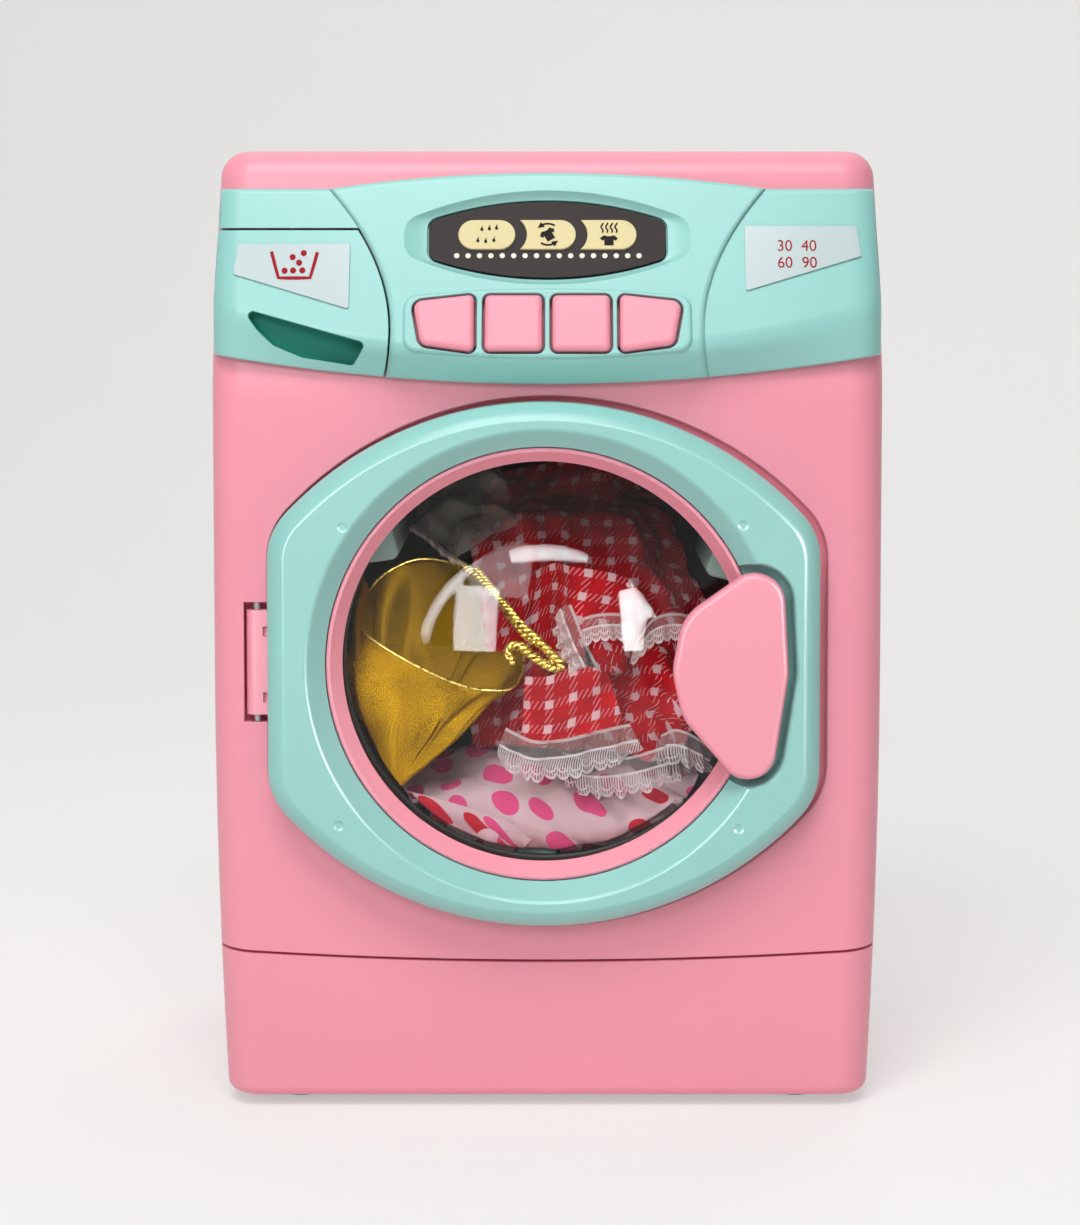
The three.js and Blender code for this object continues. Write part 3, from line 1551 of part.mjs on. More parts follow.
function buildCompoundGear(index) {
  const [x, z] = gearPlaces[index];
  const pinionTurn = turnOnto(gearAngles[index - 1] + Math.PI, pinionTeeth, true);
  const wheelTurn = turnOnto(gearAngles[index], wheelTeeth, false);
  const body = union(
    gearSlice(pinionTeeth, pinionTurn, layer(index - 1), layer(index) + gearWidth / 2, x, z),
    gearSlice(wheelTeeth, wheelTurn, layer(index), layer(index) + gearWidth, x, z),
  );
  const near = layer(index - 1) - cutOverrun;
  const far = layer(index + 1) + cutOverrun;
  return cut(body, rodY(arborRadius + arborGap, near, far, x, z));
}

function buildMotorPinion() {
  const [x, z] = gearPlaces[3];
  const turn = turnOnto(gearAngles[2] + Math.PI, pinionTeeth, true);
  return union(
    gearSlice(pinionTeeth, turn, layer(2), layer(2) + gearWidth, x, z),
    rodY(motorShaftRadius, layer(2), plateBack + seatGap + motorShaftBite, x, z),
  );
}

function buildGearPlate() {
  const [motorX, motorZ] = gearPlaces[3];
  const reachX = platePosts.map(([x]) => x);
  const reachZ = platePosts.map(([, z]) => z);
  const margin = plateCorner;
  const outline = roundedBox(
    Math.min(...reachX) - margin,
    Math.max(...reachX) + margin,
    Math.min(...reachZ) - margin,
    Math.max(...reachZ) + margin,
    plateCorner,
  );
  let body = stack(outline, [[plateFront, 0], [plateBack, 0]], 0, doorHeight);
  for (const index of [1, 2]) {
    const [x, z] = gearPlaces[index];
    body = union(body, rodY(arborRadius, layer(index - 1) + gearLayerGap, plateFront + plateThick / 2, x, z));
  }
  return cut(body, rodY(plateBore, plateFront - cutOverrun, plateBack + cutOverrun, motorX, motorZ));
}

function buildMotor() {
  const [x, z] = gearPlaces[3];
  const near = plateBack + seatGap;
  const far = near + motorLength;
  const can = rodY(motorRadius, near, far, x, z, smallSegments * 2)
    .intersect(box(x - motorRadius, x + motorRadius, near, far, z - motorFlat, z + motorFlat));
  const shaftEnd = near + motorShaftBite + gearLayerGap;
  return cut(can, rodY(motorShaftRadius + seatGap, near - cutOverrun, shaftEnd, x, z));
}

add(machine, 'drum', buildDrum(), drumGrey, 0.5);
for (let i = 0; i < vaneCount; i += 1) {
  add(machine, `drum_vane_${i + 1}`, buildVane(i), paleMint, 0.4);
}
add(machine, 'tub', buildTub(), whitePlastic, 0.5);
add(machine, 'axle_bush', buildBush(), bronze, 0.4, 1);
const axle = rodY(axleRadius, axleNear, axleFar, 0, doorHeight, smallSegments * 2);
add(machine, 'drum_axle', axle, steel, 0.3, 1);
add(machine, 'drum_gear', buildDrumGear(), whitePlastic, 0.5);
add(machine, 'compound_gear_1', buildCompoundGear(1), whitePlastic, 0.5);
add(machine, 'compound_gear_2', buildCompoundGear(2), whitePlastic, 0.5);
add(machine, 'motor_pinion', buildMotorPinion(), steel, 0.4, 1);
add(machine, 'gear_plate', buildGearPlate(), whitePlastic, 0.5);
add(machine, 'motor', buildMotor(), steel, 0.35, 1);

// Clothes: soft bodies that lie in the drum, clear of the vanes and of each other

function clothLevels(near, far, round, grow) {
  return [
    [near - grow, round],
    [near - grow + round, 0],
    [far + grow - round, 0],
    [far + grow, round],
  ].map(([depth, inset]) => [depth, inset - grow]);
}

function heapOutline(inset) {
  const radius = drumInner - seatGap - inset;
  const half = Math.acos((clothHeapDrop + inset) / radius);
  const down = -Math.PI / 2;
  return arc(0, 0, radius, down - half, down + half, crownSteps * 2);
}

function clothForm(outline, near, far, grow = 0) {
  return stack(outline, clothLevels(near, far, clothRound, grow), 0, doorHeight);
}

function clearOfVanes(body) {
  let rest = body;
  for (let i = 0; i < vaneCount; i += 1) {
    rest = cut(rest, buildVane(i, seatGap));
  }
  return rest;
}

function inDrum(shares) {
  return shares.map((circle) => circle.map((share) => share * drumRadius));
}

const coneOutline = banded(inDrum(coneCircleShares));
const dressOutline = banded(inDrum(dressCircleShares));
const heapForm = (grow = 0) => clothForm(heapOutline, clothNear, clothFar, grow);
const coneForm = (grow = 0) => clothForm(coneOutline, coneNear, coneFar, grow);
const heapBody = clearOfVanes(heapForm());
const coneBody = cut(clearOfVanes(coneForm()), heapForm(seatGap));
const dressBody = cut(
  clearOfVanes(clothForm(dressOutline, dressNear, dressFar)),
  heapForm(seatGap),
  coneForm(seatGap),
);
add(machine, 'laundry_cloth', heapBody, clothWhite, 0.95);
add(machine, 'laundry_cone', coneBody, gold, 0.8);
add(machine, 'laundry_dress', dressBody, ginghamRed, 0.95);

// Power, switch and speaker

function buildBatteryBox() {
  const wall = batteryBoxWall;
  const far = rearInner - seatGap;
  const near = far - batteryBoxDepth;
  const half = batteryHalfWidth;
  return cut(
    box(-half - wall, half + wall, near, far, batteryLow - wall, batteryTop + wall - seatGap),
    box(-half, half, near + wall, far + cutOverrun, batteryLow, batteryTop),
  );
}

function buildCell(index) {
  const half = (cellLength + cellNubLength) / 2;
  const shoulder = half - cellNubLength;
  const points = [
    [0, -half],
    [cellRadius, -half],
    [cellRadius, shoulder],
    [cellNubRadius, shoulder],
    [cellNubRadius, half],
    [0, half],
  ].map(([radius, along]) => new THREE.Vector2(radius, along));
  const geometry = new THREE.LatheGeometry(points, smallSegments);
  geometry.rotateZ(index % 2 === 0 ? -Math.PI / 2 : Math.PI / 2);
  const y = rearInner - batteryBoxDepth + batteryBoxWall + cellRadius;
  geometry.translate(0, y, batteryLow + cellPitch * (index + 1 / 2));
  return solid(geometry);
}

function buildBatteryCover() {
  const gap = seatGap;
  const half = batteryHalfWidth - gap;
  const tabHalf = batteryHalfWidth / 2 - gap * 2;
  const near = rearInner + gap;
  const body = union(
    box(-half, half, near, casingDepth, batteryLow + gap, batteryTop - gap * 2),
    box(-tabHalf, tabHalf, near, casingDepth, batteryTop - cutOverrun, coverTop - gap),
    box(-tabHalf, tabHalf, near - coverShelf, casingDepth,
      batteryTop + batteryBoxWall + gap * 2, coverTop - gap),
  );
  return cut(
    body,
    rodY(screwShaftRadius + gap, rearInner - coverShelf - cutOverrun, casingDepth, 0, coverScrewHeight),
    rodY(screwHeadRadius + gap, coverScrewSeat - gap, casingDepth + cutOverrun, 0, coverScrewHeight),
  );
}

function buildSwitchKnob() {
  const x = switchX - switchTravel / 2;
  const plateReach = switchKnobHalf + switchTravel / 2 + runGap + switchPlateLap;
  const near = rearInner - seatGap;
  return union(
    box(x - switchKnobHalf, x + switchKnobHalf, near - switchPlate / 2, casingDepth + switchProud,
      switchHeight - switchHalfHeight, switchHeight + switchHalfHeight),
    box(x - plateReach, x + plateReach, near - switchPlate, near,
      switchHeight - switchHalfHeight * 2, switchHeight + switchHalfHeight * 2),
  );
}

function buildSpeaker() {
  const far = rearInner - seatGap;
  return turnedY([
    [0, far - speakerDepth],
    [speakerMagnetRadius, far - speakerDepth],
    [speakerMagnetRadius, far - speakerRimThick * 2],
    [speakerRadius, far - speakerRimThick],
    [speakerRadius, far],
    [0, far],
  ], speakerX, speakerHeight, smallSegments * 2);
}

add(machine, 'battery_box', buildBatteryBox(), whitePlastic, 0.6);
for (let i = 0; i < cellCount; i += 1) {
  add(machine, `battery_${i + 1}`, buildCell(i), cellBlue, 0.4, 0.3);
}
add(machine, 'battery_cover', buildBatteryCover(), pink, 0.35);
const coverScrew = cut(
  screw(0, coverScrewHeight, coverScrewSeat, coverScrewLength),
  crossCut(0, coverScrewSeat + screwHeadHeight, coverScrewHeight, screwHeadRadius - screwHeadHeight / 2),
);
add(machine, 'cover_screw', coverScrew, steel, 0.35, 1);
add(machine, 'switch_knob', buildSwitchKnob(), rubberGrey, 0.6);
add(machine, 'speaker', buildSpeaker(), rubberGrey, 0.7);

// Centre the machine on the origin, from the handle's face to the switch knob at the back
const frontmost = handleFront;
const rearmost = casingDepth + switchProud;
machine.position.y = -(frontmost + rearmost) / 2;

export default machine;
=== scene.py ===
import math
import bpy
import bmesh
import numpy as np
from mathutils import Matrix, Vector, noise


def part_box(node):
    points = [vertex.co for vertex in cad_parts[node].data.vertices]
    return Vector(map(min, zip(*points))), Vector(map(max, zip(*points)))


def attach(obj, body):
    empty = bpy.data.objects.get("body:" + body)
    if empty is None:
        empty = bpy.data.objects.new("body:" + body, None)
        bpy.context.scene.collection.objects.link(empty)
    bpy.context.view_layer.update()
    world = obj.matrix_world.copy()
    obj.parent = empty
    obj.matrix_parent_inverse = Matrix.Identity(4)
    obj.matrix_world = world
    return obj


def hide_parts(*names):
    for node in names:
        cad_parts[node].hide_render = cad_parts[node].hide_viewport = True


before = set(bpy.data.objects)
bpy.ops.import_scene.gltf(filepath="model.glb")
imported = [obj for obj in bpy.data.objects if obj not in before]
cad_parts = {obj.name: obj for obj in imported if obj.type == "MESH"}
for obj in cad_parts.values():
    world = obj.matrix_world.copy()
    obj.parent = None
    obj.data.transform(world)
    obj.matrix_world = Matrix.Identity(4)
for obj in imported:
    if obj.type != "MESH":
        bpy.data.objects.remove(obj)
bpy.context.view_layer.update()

# Lengths below are millimetres: x across, y the depth behind the front face, z the height
MM = 0.001
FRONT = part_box("front_shell")[0].y
TAU = math.tau
QUARTER = math.pi / 2

# Casing: its half width where it is widest, its height, its depth, its wall and its rounded corners
HALF, TOP, DEEP, WALL = 95.0, 272, 138, 2.2
FRONT_CORNER, REAR_CORNER, FOOT_Z, FOOT_EDGE, TOP_EDGE = 10, 13, 3, 3, 7
WAIST, SHOULDER = 125, 205
FOOT_TAPER, TOP_TAPER = 3.5, 1.8
LEAN_START, LEAN = 206, math.tan(math.radians(12))
SEAM_Z, SEAM_RISE = 42.3, 3.4
BEYOND = 97

# Panel: the half width of its face, its foot, the top of its wings, and the tilted bed of the display
PANEL_HALF, PANEL_FOOT, WING_TOP = 94.1, 204.2, 261.0
TILT = math.radians(21)
BED_DEPTH, BED_HEIGHT = -8.6, 223.2
DISPLAY_RISE = 26

# Door: its centre, the axis of its hinge and the places of its four screws
DOOR_X, DOOR_Z = -1.05, 127.7
HINGE_X, HINGE_Y = -82, 2
BOSSES = [(DOOR_X + sx * 57, DOOR_Z + sz * 42) for sz in (1, -1) for sx in (-1, 1)]
VANE_ANGLES = [math.radians(-93 + 120 * i) for i in range(3)]

# The photograph: millimetres to a pixel, the column of x = 0, the row of z = 0, and where the eye stands
PIXEL = 0.28
MIDDLE_COLUMN, FOOT_ROW = 547.5, 1120
EYE_AWAY, EYE_HEIGHT = 750, 235
DIMPLE_PIXELS = ((345, 524), (741, 522), (340, 822), (738, 825))
TRAY_PIXELS = ((271.6, 251.4), (275.5, 265), (279.3, 277.6), (290, 277.8), (300, 277.8), (311, 277.6),
               (314.4, 265), (317.7, 252))
TRAY_DOT_PIXELS = ((285.3, 270.5), (293.8, 270.3), (303, 270.2), (299.6, 262.5), (293, 257), (304, 253))


def place(p):
    return (p[0] * MM, p[1] * MM + FRONT, p[2] * MM)


def mm_at(column, row):
    return (column - MIDDLE_COLUMN) * PIXEL, (FOOT_ROW - row) * PIXEL


# Mesh building

def make(name, verts, faces, world=None):
    mesh = bpy.data.meshes.new(name)
    mesh.from_pydata([place(v) if world is None else world @ Vector(v) for v in verts], [], faces)
    bm = bmesh.new()
    bm.from_mesh(mesh)
    bmesh.ops.remove_doubles(bm, verts=bm.verts, dist=1e-6)
    bmesh.ops.dissolve_degenerate(bm, edges=bm.edges, dist=1e-7)
    bmesh.ops.recalc_face_normals(bm, faces=bm.faces)
    bm.to_mesh(mesh)
    bm.free()
    obj = bpy.data.objects.new(name, mesh)
    bpy.context.collection.objects.link(obj)
    return obj


def loft(name, rows, world=None):
    """A closed skin over rows of as many points each."""
    n = len(rows[0])
    faces = []
    for r in range(len(rows) - 1):
        for i in range(n):
            j = (i + 1) % n
            faces.append((r * n + i, r * n + j, (r + 1) * n + j, (r + 1) * n + i))
    faces.append(tuple(reversed(range(n))))
    last = (len(rows) - 1) * n
    faces.append(tuple(range(last, last + n)))
    return make(name, [p for row in rows for p in row], faces, world=world)


def arc(x, z, radius, start, end, steps=8):
    turns = [start + (end - start) * i / steps for i in range(steps + 1)]
    return [(x + radius * math.cos(t), z + radius * math.sin(t)) for t in turns]


def crowned(half_w, half_h, crown, corner, wide_steps=36):
    """The outline of a rounded box whose top and bottom are arcs of the crown's radius."""
    def outline(inset):
        drop = crown - half_h
        big, small = crown - inset, corner - inset
        cx = half_w - corner
        cz = math.sqrt((crown - corner) ** 2 - cx ** 2) - drop
        turn = math.atan2(cz + drop, cx)
        h = math.pi
        return (arc(cx, cz, small, 0, turn)
                + arc(0, -drop, big, turn, h - turn, wide_steps)[1:-1]
                + arc(-cx, cz, small, h - turn, h)
                + arc(-cx, -cz, small, h, h + turn)
                + arc(0, drop, big, h + turn, 2 * h - turn, wide_steps)[1:-1]
                + arc(cx, -cz, small, 2 * h - turn, 2 * h))
    return outline


def banded(circles, steps=8):
    """The outline of a band stretched around circles, each given by x, z and radius."""
    def outline(inset):
        count = len(circles)
        normals = []
        for i, (x, z, r) in enumerate(circles):
            nx, nz, nr = circles[(i + 1) % count]
            span = math.hypot(nx - x, nz - z)
            normals.append(math.atan2(nz - z, nx - x) - math.acos((r - nr) / span))
        points = []
        for i, (x, z, r) in enumerate(circles):
            start, end = normals[i - 1], normals[i]
            while end < start:
                end += TAU
            points += arc(x, z, r - inset, start, end, steps)
        return points
    return outline


def rounded(x0, x1, z0, z1, radius):
    left, right, low, high = x0 + radius, x1 - radius, z0 + radius, z1 - radius
    return banded([(x, z, radius) for x, z in ((left, low), (right, low), (right, high), (left, high))])


def eased(front, back, radius, steps=6):
    """Levels of depth and inset that round the front edge."""
    levels = []
    for i in range(steps + 1):
        t = math.pi / 2 * i / steps
        levels.append((front + radius * (1 - math.sin(t)), radius * (1 - math.cos(t))))
    return levels[::-1] + [(back, 0)]


def stack(name, outline, levels, x=0.0, z=0.0, world=None):
    """A solid of one outline, drawn in by each level's inset at its depth."""
    rows = [[(px + x, depth, pz + z) for px, pz in outline(inset)] for depth, inset in levels]
    return loft(name, rows, world)


def prism(name, points, near, far, world=None):
    return loft(name, [[(x, y, z) for x, z in points] for y in (near, far)], world)


def block(x0, x1, y0, y1, z0, z1, world=None):
    return prism("tool", [(x0, z0), (x1, z0), (x1, z1), (x0, z1)], y0, y1, world)


def rod_y(radius, near, far, x, z, seg, world=None, name="tool"):
    points = arc(x, z, radius, 0, TAU, seg)[:-1]
    return prism(name, points, near, far, world)


def rod_z(name, radius, low, high, x, y, seg):
    ring = arc(x, y, radius, 0, TAU, seg)[:-1]
    return loft(name, [[(px, py, z) for px, py in ring] for z in (low, high)])


def turned(name, profile, x, z, seg=128):
    """A profile of radius and depth, turned about an axis along y."""
    closed = profile[0] == profile[-1]
    points = profile[:-1] if closed else profile
    verts, faces = [], []
    n = len(points)
    for s in range(seg):
        t = TAU * s / seg
        verts += [(x + r * math.cos(t), y, z + r * math.sin(t)) for r, y in points]
    for s in range(seg):
        a, b = s * n, ((s + 1) % seg) * n
        for i in range(n if closed else n - 1):
            j = (i + 1) % n
            faces.append((a + i, a + j, b + j, b + i))
    return make(name, verts, faces)


def bake(obj):
    """Applies the modifiers."""
    graph = bpy.context.evaluated_depsgraph_get()
    mesh = bpy.data.meshes.new_from_object(obj.evaluated_get(graph))
    obj.modifiers.clear()
    obj.data = mesh
    return obj


def combine(obj, tools, operation):
    for tool in tools:
        mod = obj.modifiers.new("join", "BOOLEAN")
        mod.operation = operation
        mod.solver = "MANIFOLD"
        mod.object = tool
        bake(obj)
        bpy.data.objects.remove(tool)
    return obj


def cut(obj, *tools):
    return combine(obj, tools, "DIFFERENCE")


def keep(obj, *tools):
    return combine(obj, tools, "INTERSECT")


def union(obj, *tools):
    return combine(obj, tools, "UNION")


def copy(obj, name):
    twin = obj.copy()
    twin.data = obj.data.copy()
    twin.name = name
    bpy.context.collection.objects.link(twin)
    return twin


def drop(*objs):
    for obj in objs:
        bpy.data.objects.remove(obj)


def ready(obj, material, body, nodes=(), angle=32):
    """Gives the piece its material, its body and the nodes that it stands for."""
    obj.data.materials.clear()
    obj.data.materials.append(material)
    obj.data.shade_smooth()
    obj.data.set_sharp_from_angle(angle=math.radians(angle))
    mod = obj.modifiers.new("normals", "WEIGHTED_NORMAL")
    mod.keep_sharp = True
    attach(obj, body)
    if nodes:
        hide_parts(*nodes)
    return obj


# Materials

class Amount:
    """A number that a material works out: each sign of arithmetic makes one Math node."""

    def __init__(self, tree, socket):
        self.tree = tree
        self.socket = socket

    def math(self, kind, *values):
        node = add(self.tree, "Math", operation=kind)
        for value, target in zip((self, *values), node.inputs):
            link(self.tree, value, target)
        return Amount(self.tree, node.outputs["Value"])

    def __add__(self, other):
        return self.math("ADD", other)

    def __sub__(self, other):
        return self.math("SUBTRACT", other)

    def __mul__(self, other):
        return self.math("MULTIPLY", other)

    def __truediv__(self, other):
        return self.math("DIVIDE", other)

    def __gt__(self, other):
        return self.math("GREATER_THAN", other)

    def __lt__(self, other):
        return self.math("LESS_THAN", other)


def shader(name, **values):
    """A new material, with uniform values set on the sockets that they name."""
    material = bpy.data.materials.new(name)
    material.use_nodes = True
    tree = material.node_tree
    bsdf = tree.nodes["Principled BSDF"]
    for key, value in values.items():
        bsdf.inputs[key.replace("_", " ")].default_value = value
    return material, tree, bsdf


def add(tree, kind, **values):
    node = tree.nodes.new("ShaderNode" + kind)
    for key, value in values.items():
        if hasattr(node, key):
            setattr(node, key, value)
        else:
            node.inputs[key.replace("_", " ")].default_value = value
    return node


def link(tree, source, target):
    """Feeds a socket from another socket or an amount, or sets it to a plain value."""
    if isinstance(source, Amount):
        source = source.socket
    if hasattr(source, "links"):
        tree.links.new(source, target)
    else:
        target.default_value = source


def object_place(tree):
    return add(tree, "TexCoord").outputs["Object"]


def grain(tree, scale, detail=2.0, coords=None):
    node = add(tree, "TexNoise", Scale=scale, Detail=detail)
    link(tree, coords or object_place(tree), node.inputs["Vector"])
    return node.outputs["Fac"]


def ranged(tree, source, low, high, start=0.3, end=0.7):
    """Maps the source from start and end to low and high, and no further."""
    node = add(tree, "MapRange")
    for key, value in (("From Min", start), ("From Max", end), ("To Min", low), ("To Max", high)):
        node.inputs[key].default_value = value
    link(tree, source, node.inputs["Value"])
    return node.outputs["Result"]


def blended(tree, factor, a, b):
    """A colour between two, each a colour socket or plain red, green and blue."""
    node = add(tree, "Mix", data_type="RGBA")
    link(tree, factor, node.inputs["Factor"])
    for key, value in (("A", a), ("B", b)):
        socket = [s for s in node.inputs if s.name == key and s.type == "RGBA"][0]
        link(tree, value if hasattr(value, "links") else (*value, 1), socket)
    return [s for s in node.outputs if s.type == "RGBA"][0]


def bumped(tree, height, strength, distance, normal=None):
    """The normal after a bump, whose distance is in millimetres."""
    bump = add(tree, "Bump", Strength=strength, Distance=distance * MM)
    link(tree, height, bump.inputs["Height"])
    if normal is not None:
        link(tree, normal, bump.inputs["Normal"])
    return bump.outputs["Normal"]


def scaled(color, factor):
    return tuple(min(c * factor, 1) for c in color)


def mottled(tree, bsdf, source, dark, light):
    """Varies the surface's colour between two by a noise."""
    link(tree, blended(tree, ranged(tree, source, 0, 1), dark, light), bsdf.inputs["Base Color"])


def surface(tree, share, first, second):
    """Mixes two shaders into the material's surface."""
    mix = add(tree, "MixShader")
    for source, target in zip((share, first, second), mix.inputs):
        link(tree, source, target)
    link(tree, mix.outputs["Shader"], tree.nodes["Material Output"].inputs["Surface"])


def plastic(name, color, rough, edge=0.35, peel=0.012, coat=0.0, spots=(), shade=0.035, spec=0.5):
    """Moulded plastic: faint orange peel, flow marks in the gloss, softened edges and rubbed corners.

    A spot is a small dent, given by its place, its radius and its depth.
    """
    material, tree, bsdf = shader(name, Specular_IOR_Level=spec, Coat_Weight=coat, Coat_Roughness=0.12)
    flow = ranged(tree, grain(tree, scale=14, detail=1.5), 0, 1, 0.15, 0.85)
    base = blended(tree, flow, scaled(color, 1 - shade), scaled(color, 1 + shade))
    bevel = add(tree, "Bevel", samples=3, Radius=edge * MM).outputs["Normal"]
    facing = add(tree, "VectorMath", operation="DOT_PRODUCT")
    link(tree, bevel, facing.inputs[0])
    link(tree, add(tree, "NewGeometry").outputs["Normal"], facing.inputs[1])
    rubbed = ranged(tree, facing.outputs["Value"], 0.2, 0, 0.8, 0.99)
    link(tree, blended(tree, rubbed, base, scaled(color, 1.35)), bsdf.inputs["Base Color"])
    gloss = ranged(tree, grain(tree, scale=45), rough - 0.02, rough + 0.03, 0.15, 0.85)
    link(tree, gloss, bsdf.inputs["Roughness"])
    normal = bumped(tree, grain(tree, scale=700, detail=1), 0.6, peel, bevel)
    for x, y, z, radius, depth in spots:
        away = add(tree, "VectorMath", operation="DISTANCE")
        link(tree, object_place(tree), away.inputs[0])
        away.inputs[1].default_value = place((x, y, z))
        rise = ranged(tree, away.outputs["Value"], 0, 1, radius * 0.55 * MM, radius * MM)
        normal = bumped(tree, rise, 1.0, depth, normal)
    link(tree, normal, bsdf.inputs["Normal"])
    return material


def metal(name, color, rough=0.36, brushed=60):
    """Turned or drawn metal, with fine lines across its height."""
    material, tree, bsdf = shader(name, Metallic=1)
    stretch = add(tree, "Mapping")
    stretch.inputs["Scale"].default_value = (1, 1, brushed)
    link(tree, object_place(tree), stretch.inputs["Vector"])
    lines = grain(tree, 120, 5, stretch.outputs["Vector"])
    mottled(tree, bsdf, lines, scaled(color, 0.8), scaled(color, 1.1))
    link(tree, ranged(tree, lines, rough - 0.08, rough + 0.12), bsdf.inputs["Roughness"])
    link(tree, bumped(tree, lines, 0.5, 0.01), bsdf.inputs["Normal"])
    return material


def rubbery(name, color):
    """Matt rubber with pale dust in its pores."""
    material, tree, bsdf = shader(name)
    dust = grain(tree, scale=70, detail=5)
    mottled(tree, bsdf, dust, color, scaled(color, 1.7))
    link(tree, ranged(tree, dust, 0.6, 0.85), bsdf.inputs["Roughness"])
    link(tree, bumped(tree, grain(tree, scale=1500, detail=3), 0.8, 0.06), bsdf.inputs["Normal"])
    return material


PINK = (0.92, 0.325, 0.415)
MINT = (0.305, 0.64, 0.595)
DOOR_FACE_Y, DIMPLE_RADIUS, DIMPLE_DEPTH = -12.0, 1.5, 0.25
dimples = []
for column, row in DIMPLE_PIXELS:
    x, z = mm_at(column, row)
    dimples.append((x, DOOR_FACE_Y, z, DIMPLE_RADIUS, DIMPLE_DEPTH))
sinks = [(-76, 20, TOP, 2.2, 0.12), (74.4, 20, TOP, 2.2, 0.12)]
pink = plastic("pink_plastic", PINK, 0.37, spots=sinks)
mint = plastic("mint_plastic", MINT, 0.3)
door_mint = plastic("door_mint_plastic", MINT, 0.3, spots=dimples)
# Deep mint is the drawer housing's colour, and also the painted shade that lines the drawer's finger recess
deep_mint = plastic("deep_mint_plastic", (0.012, 0.24, 0.185), 0.42, spec=0.3)
tray_mint = plastic("tray_plastic", (0.05, 0.42, 0.42), 0.33)
smoked = plastic("smoked_plastic", (0.019, 0.0105, 0.0115), 0.36, peel=0.004, spec=0.12)
cream = plastic("cream_plastic", (0.72, 0.62, 0.32), 0.3, peel=0.004, spec=0.3)
label_film = plastic("label_film", (0.52, 0.62, 0.63), 0.24, edge=0.05, peel=0.02, coat=0.25)
print_red = plastic("print_red", (0.36, 0.006, 0.02), 0.5, edge=0.03, spec=0.1)
print_dark = plastic("print_dark", (0.018, 0.012, 0.012), 0.5, edge=0.03, spec=0.1)
print_cream = plastic("print_cream", (0.85, 0.8, 0.68), 0.4, edge=0.03)
drum_plastic = plastic("drum_plastic", (0.022, 0.032, 0.026), 0.45, peel=0.03, shade=0.2)
pale_mint = plastic("pale_mint_plastic", (0.42, 0.68, 0.6), 0.38)
white_plastic = plastic("white_plastic", (0.8, 0.78, 0.72), 0.4)
dark_plastic = plastic("dark_plastic", (0.045, 0.045, 0.05), 0.42)
board_green = plastic("board_lacquer", (0.02, 0.14, 0.06), 0.3)
cell_blue = plastic("cell_jacket", (0.05, 0.09, 0.16), 0.24, coat=0.3)
steel = metal("steel", (0.56, 0.57, 0.58))
bronze = metal("bronze", (0.52, 0.35, 0.15), 0.42, 4)
rubber = rubbery("rubber", (0.05, 0.05, 0.052))


# Casing form

def half_width(z):
    if z < WAIST:
        return HALF - FOOT_TAPER * ((WAIST - z) / WAIST) ** 2
    if z > SHOULDER:
        return HALF - TOP_TAPER * ((z - SHOULDER) / (TOP - SHOULDER)) ** 2
    return HALF


def face_depth(z):
    """The front face stands upright up to the panel and leans back above it."""
    return max(z - LEAN_START, 0) * LEAN


def section(z, inset):
    rear_x, rear_y = half_width(z) - REAR_CORNER, DEEP - REAR_CORNER
    front_x, front_y = half_width(z) - FRONT_CORNER, face_depth(z) + FRONT_CORNER
    near, far = FRONT_CORNER - inset, REAR_CORNER - inset
    corners = [(rear_x, rear_y, far), (-rear_x, rear_y, far),
               (-front_x, front_y, near), (front_x, front_y, near)]
    points = []
    for i, (x, y, radius) in enumerate(corners):
        points += arc(x, y, radius, i * QUARTER, (i + 1) * QUARTER, 9)
    return [(x, y, z) for x, y in points]


def casing(inset):
    """The casing's closed form, drawn in by the inset, with a rounded foot and top."""
    low, high, rows = FOOT_EDGE - inset, TOP_EDGE - inset, []
    for i in range(5):
        t = QUARTER * i / 4
        rows.append(section(FOOT_Z + inset + low * (1 - math.cos(t)), inset + low * (1 - math.sin(t))))
    rows += [section(FOOT_Z + FOOT_EDGE + 20 * i, inset) for i in range(1, 10)]
    rows += [section(z, inset) for z in (200, 206, 214, 226, 240, 254)]
    for i in range(8):
        t = QUARTER * i / 7
        rows.append(section(TOP - inset - high * (1 - math.sin(t)), inset + high * (1 - math.cos(t))))
    return loft("casing", rows)


def skirt(gap, limit):
    """A tool from the bowed seam of the plinth, moved by the gap, to a height beyond it."""
    xs = [-BEYOND + 2 * BEYOND * i / 40 for i in range(41)]
    seam = [(x, SEAM_Z + SEAM_RISE * (x / HALF) ** 2 + gap) for x in xs]
    return prism("tool", [(-BEYOND, limit)] + seam + [(BEYOND, limit)], -2, 140)


SEAM_GAP, ABOVE, BELOW = 0.4, 274, -2
SPLIT_FRONT, SPLIT_REAR, BEHIND = 59.9, 60.3, 140
RECESS_DEPTH, PORT_RADIUS, BACK_FACE = 4, 60, 133.8
recess = crowned(78.8, 75, 100, 20)
shell = cut(casing(0), casing(WALL))
POSTS = [(x, z) for z in (60, 194) for x in (-81, 81)]
SOUND_SLOTS = (33.8, 39.4, 45, 50.6, 56.2)

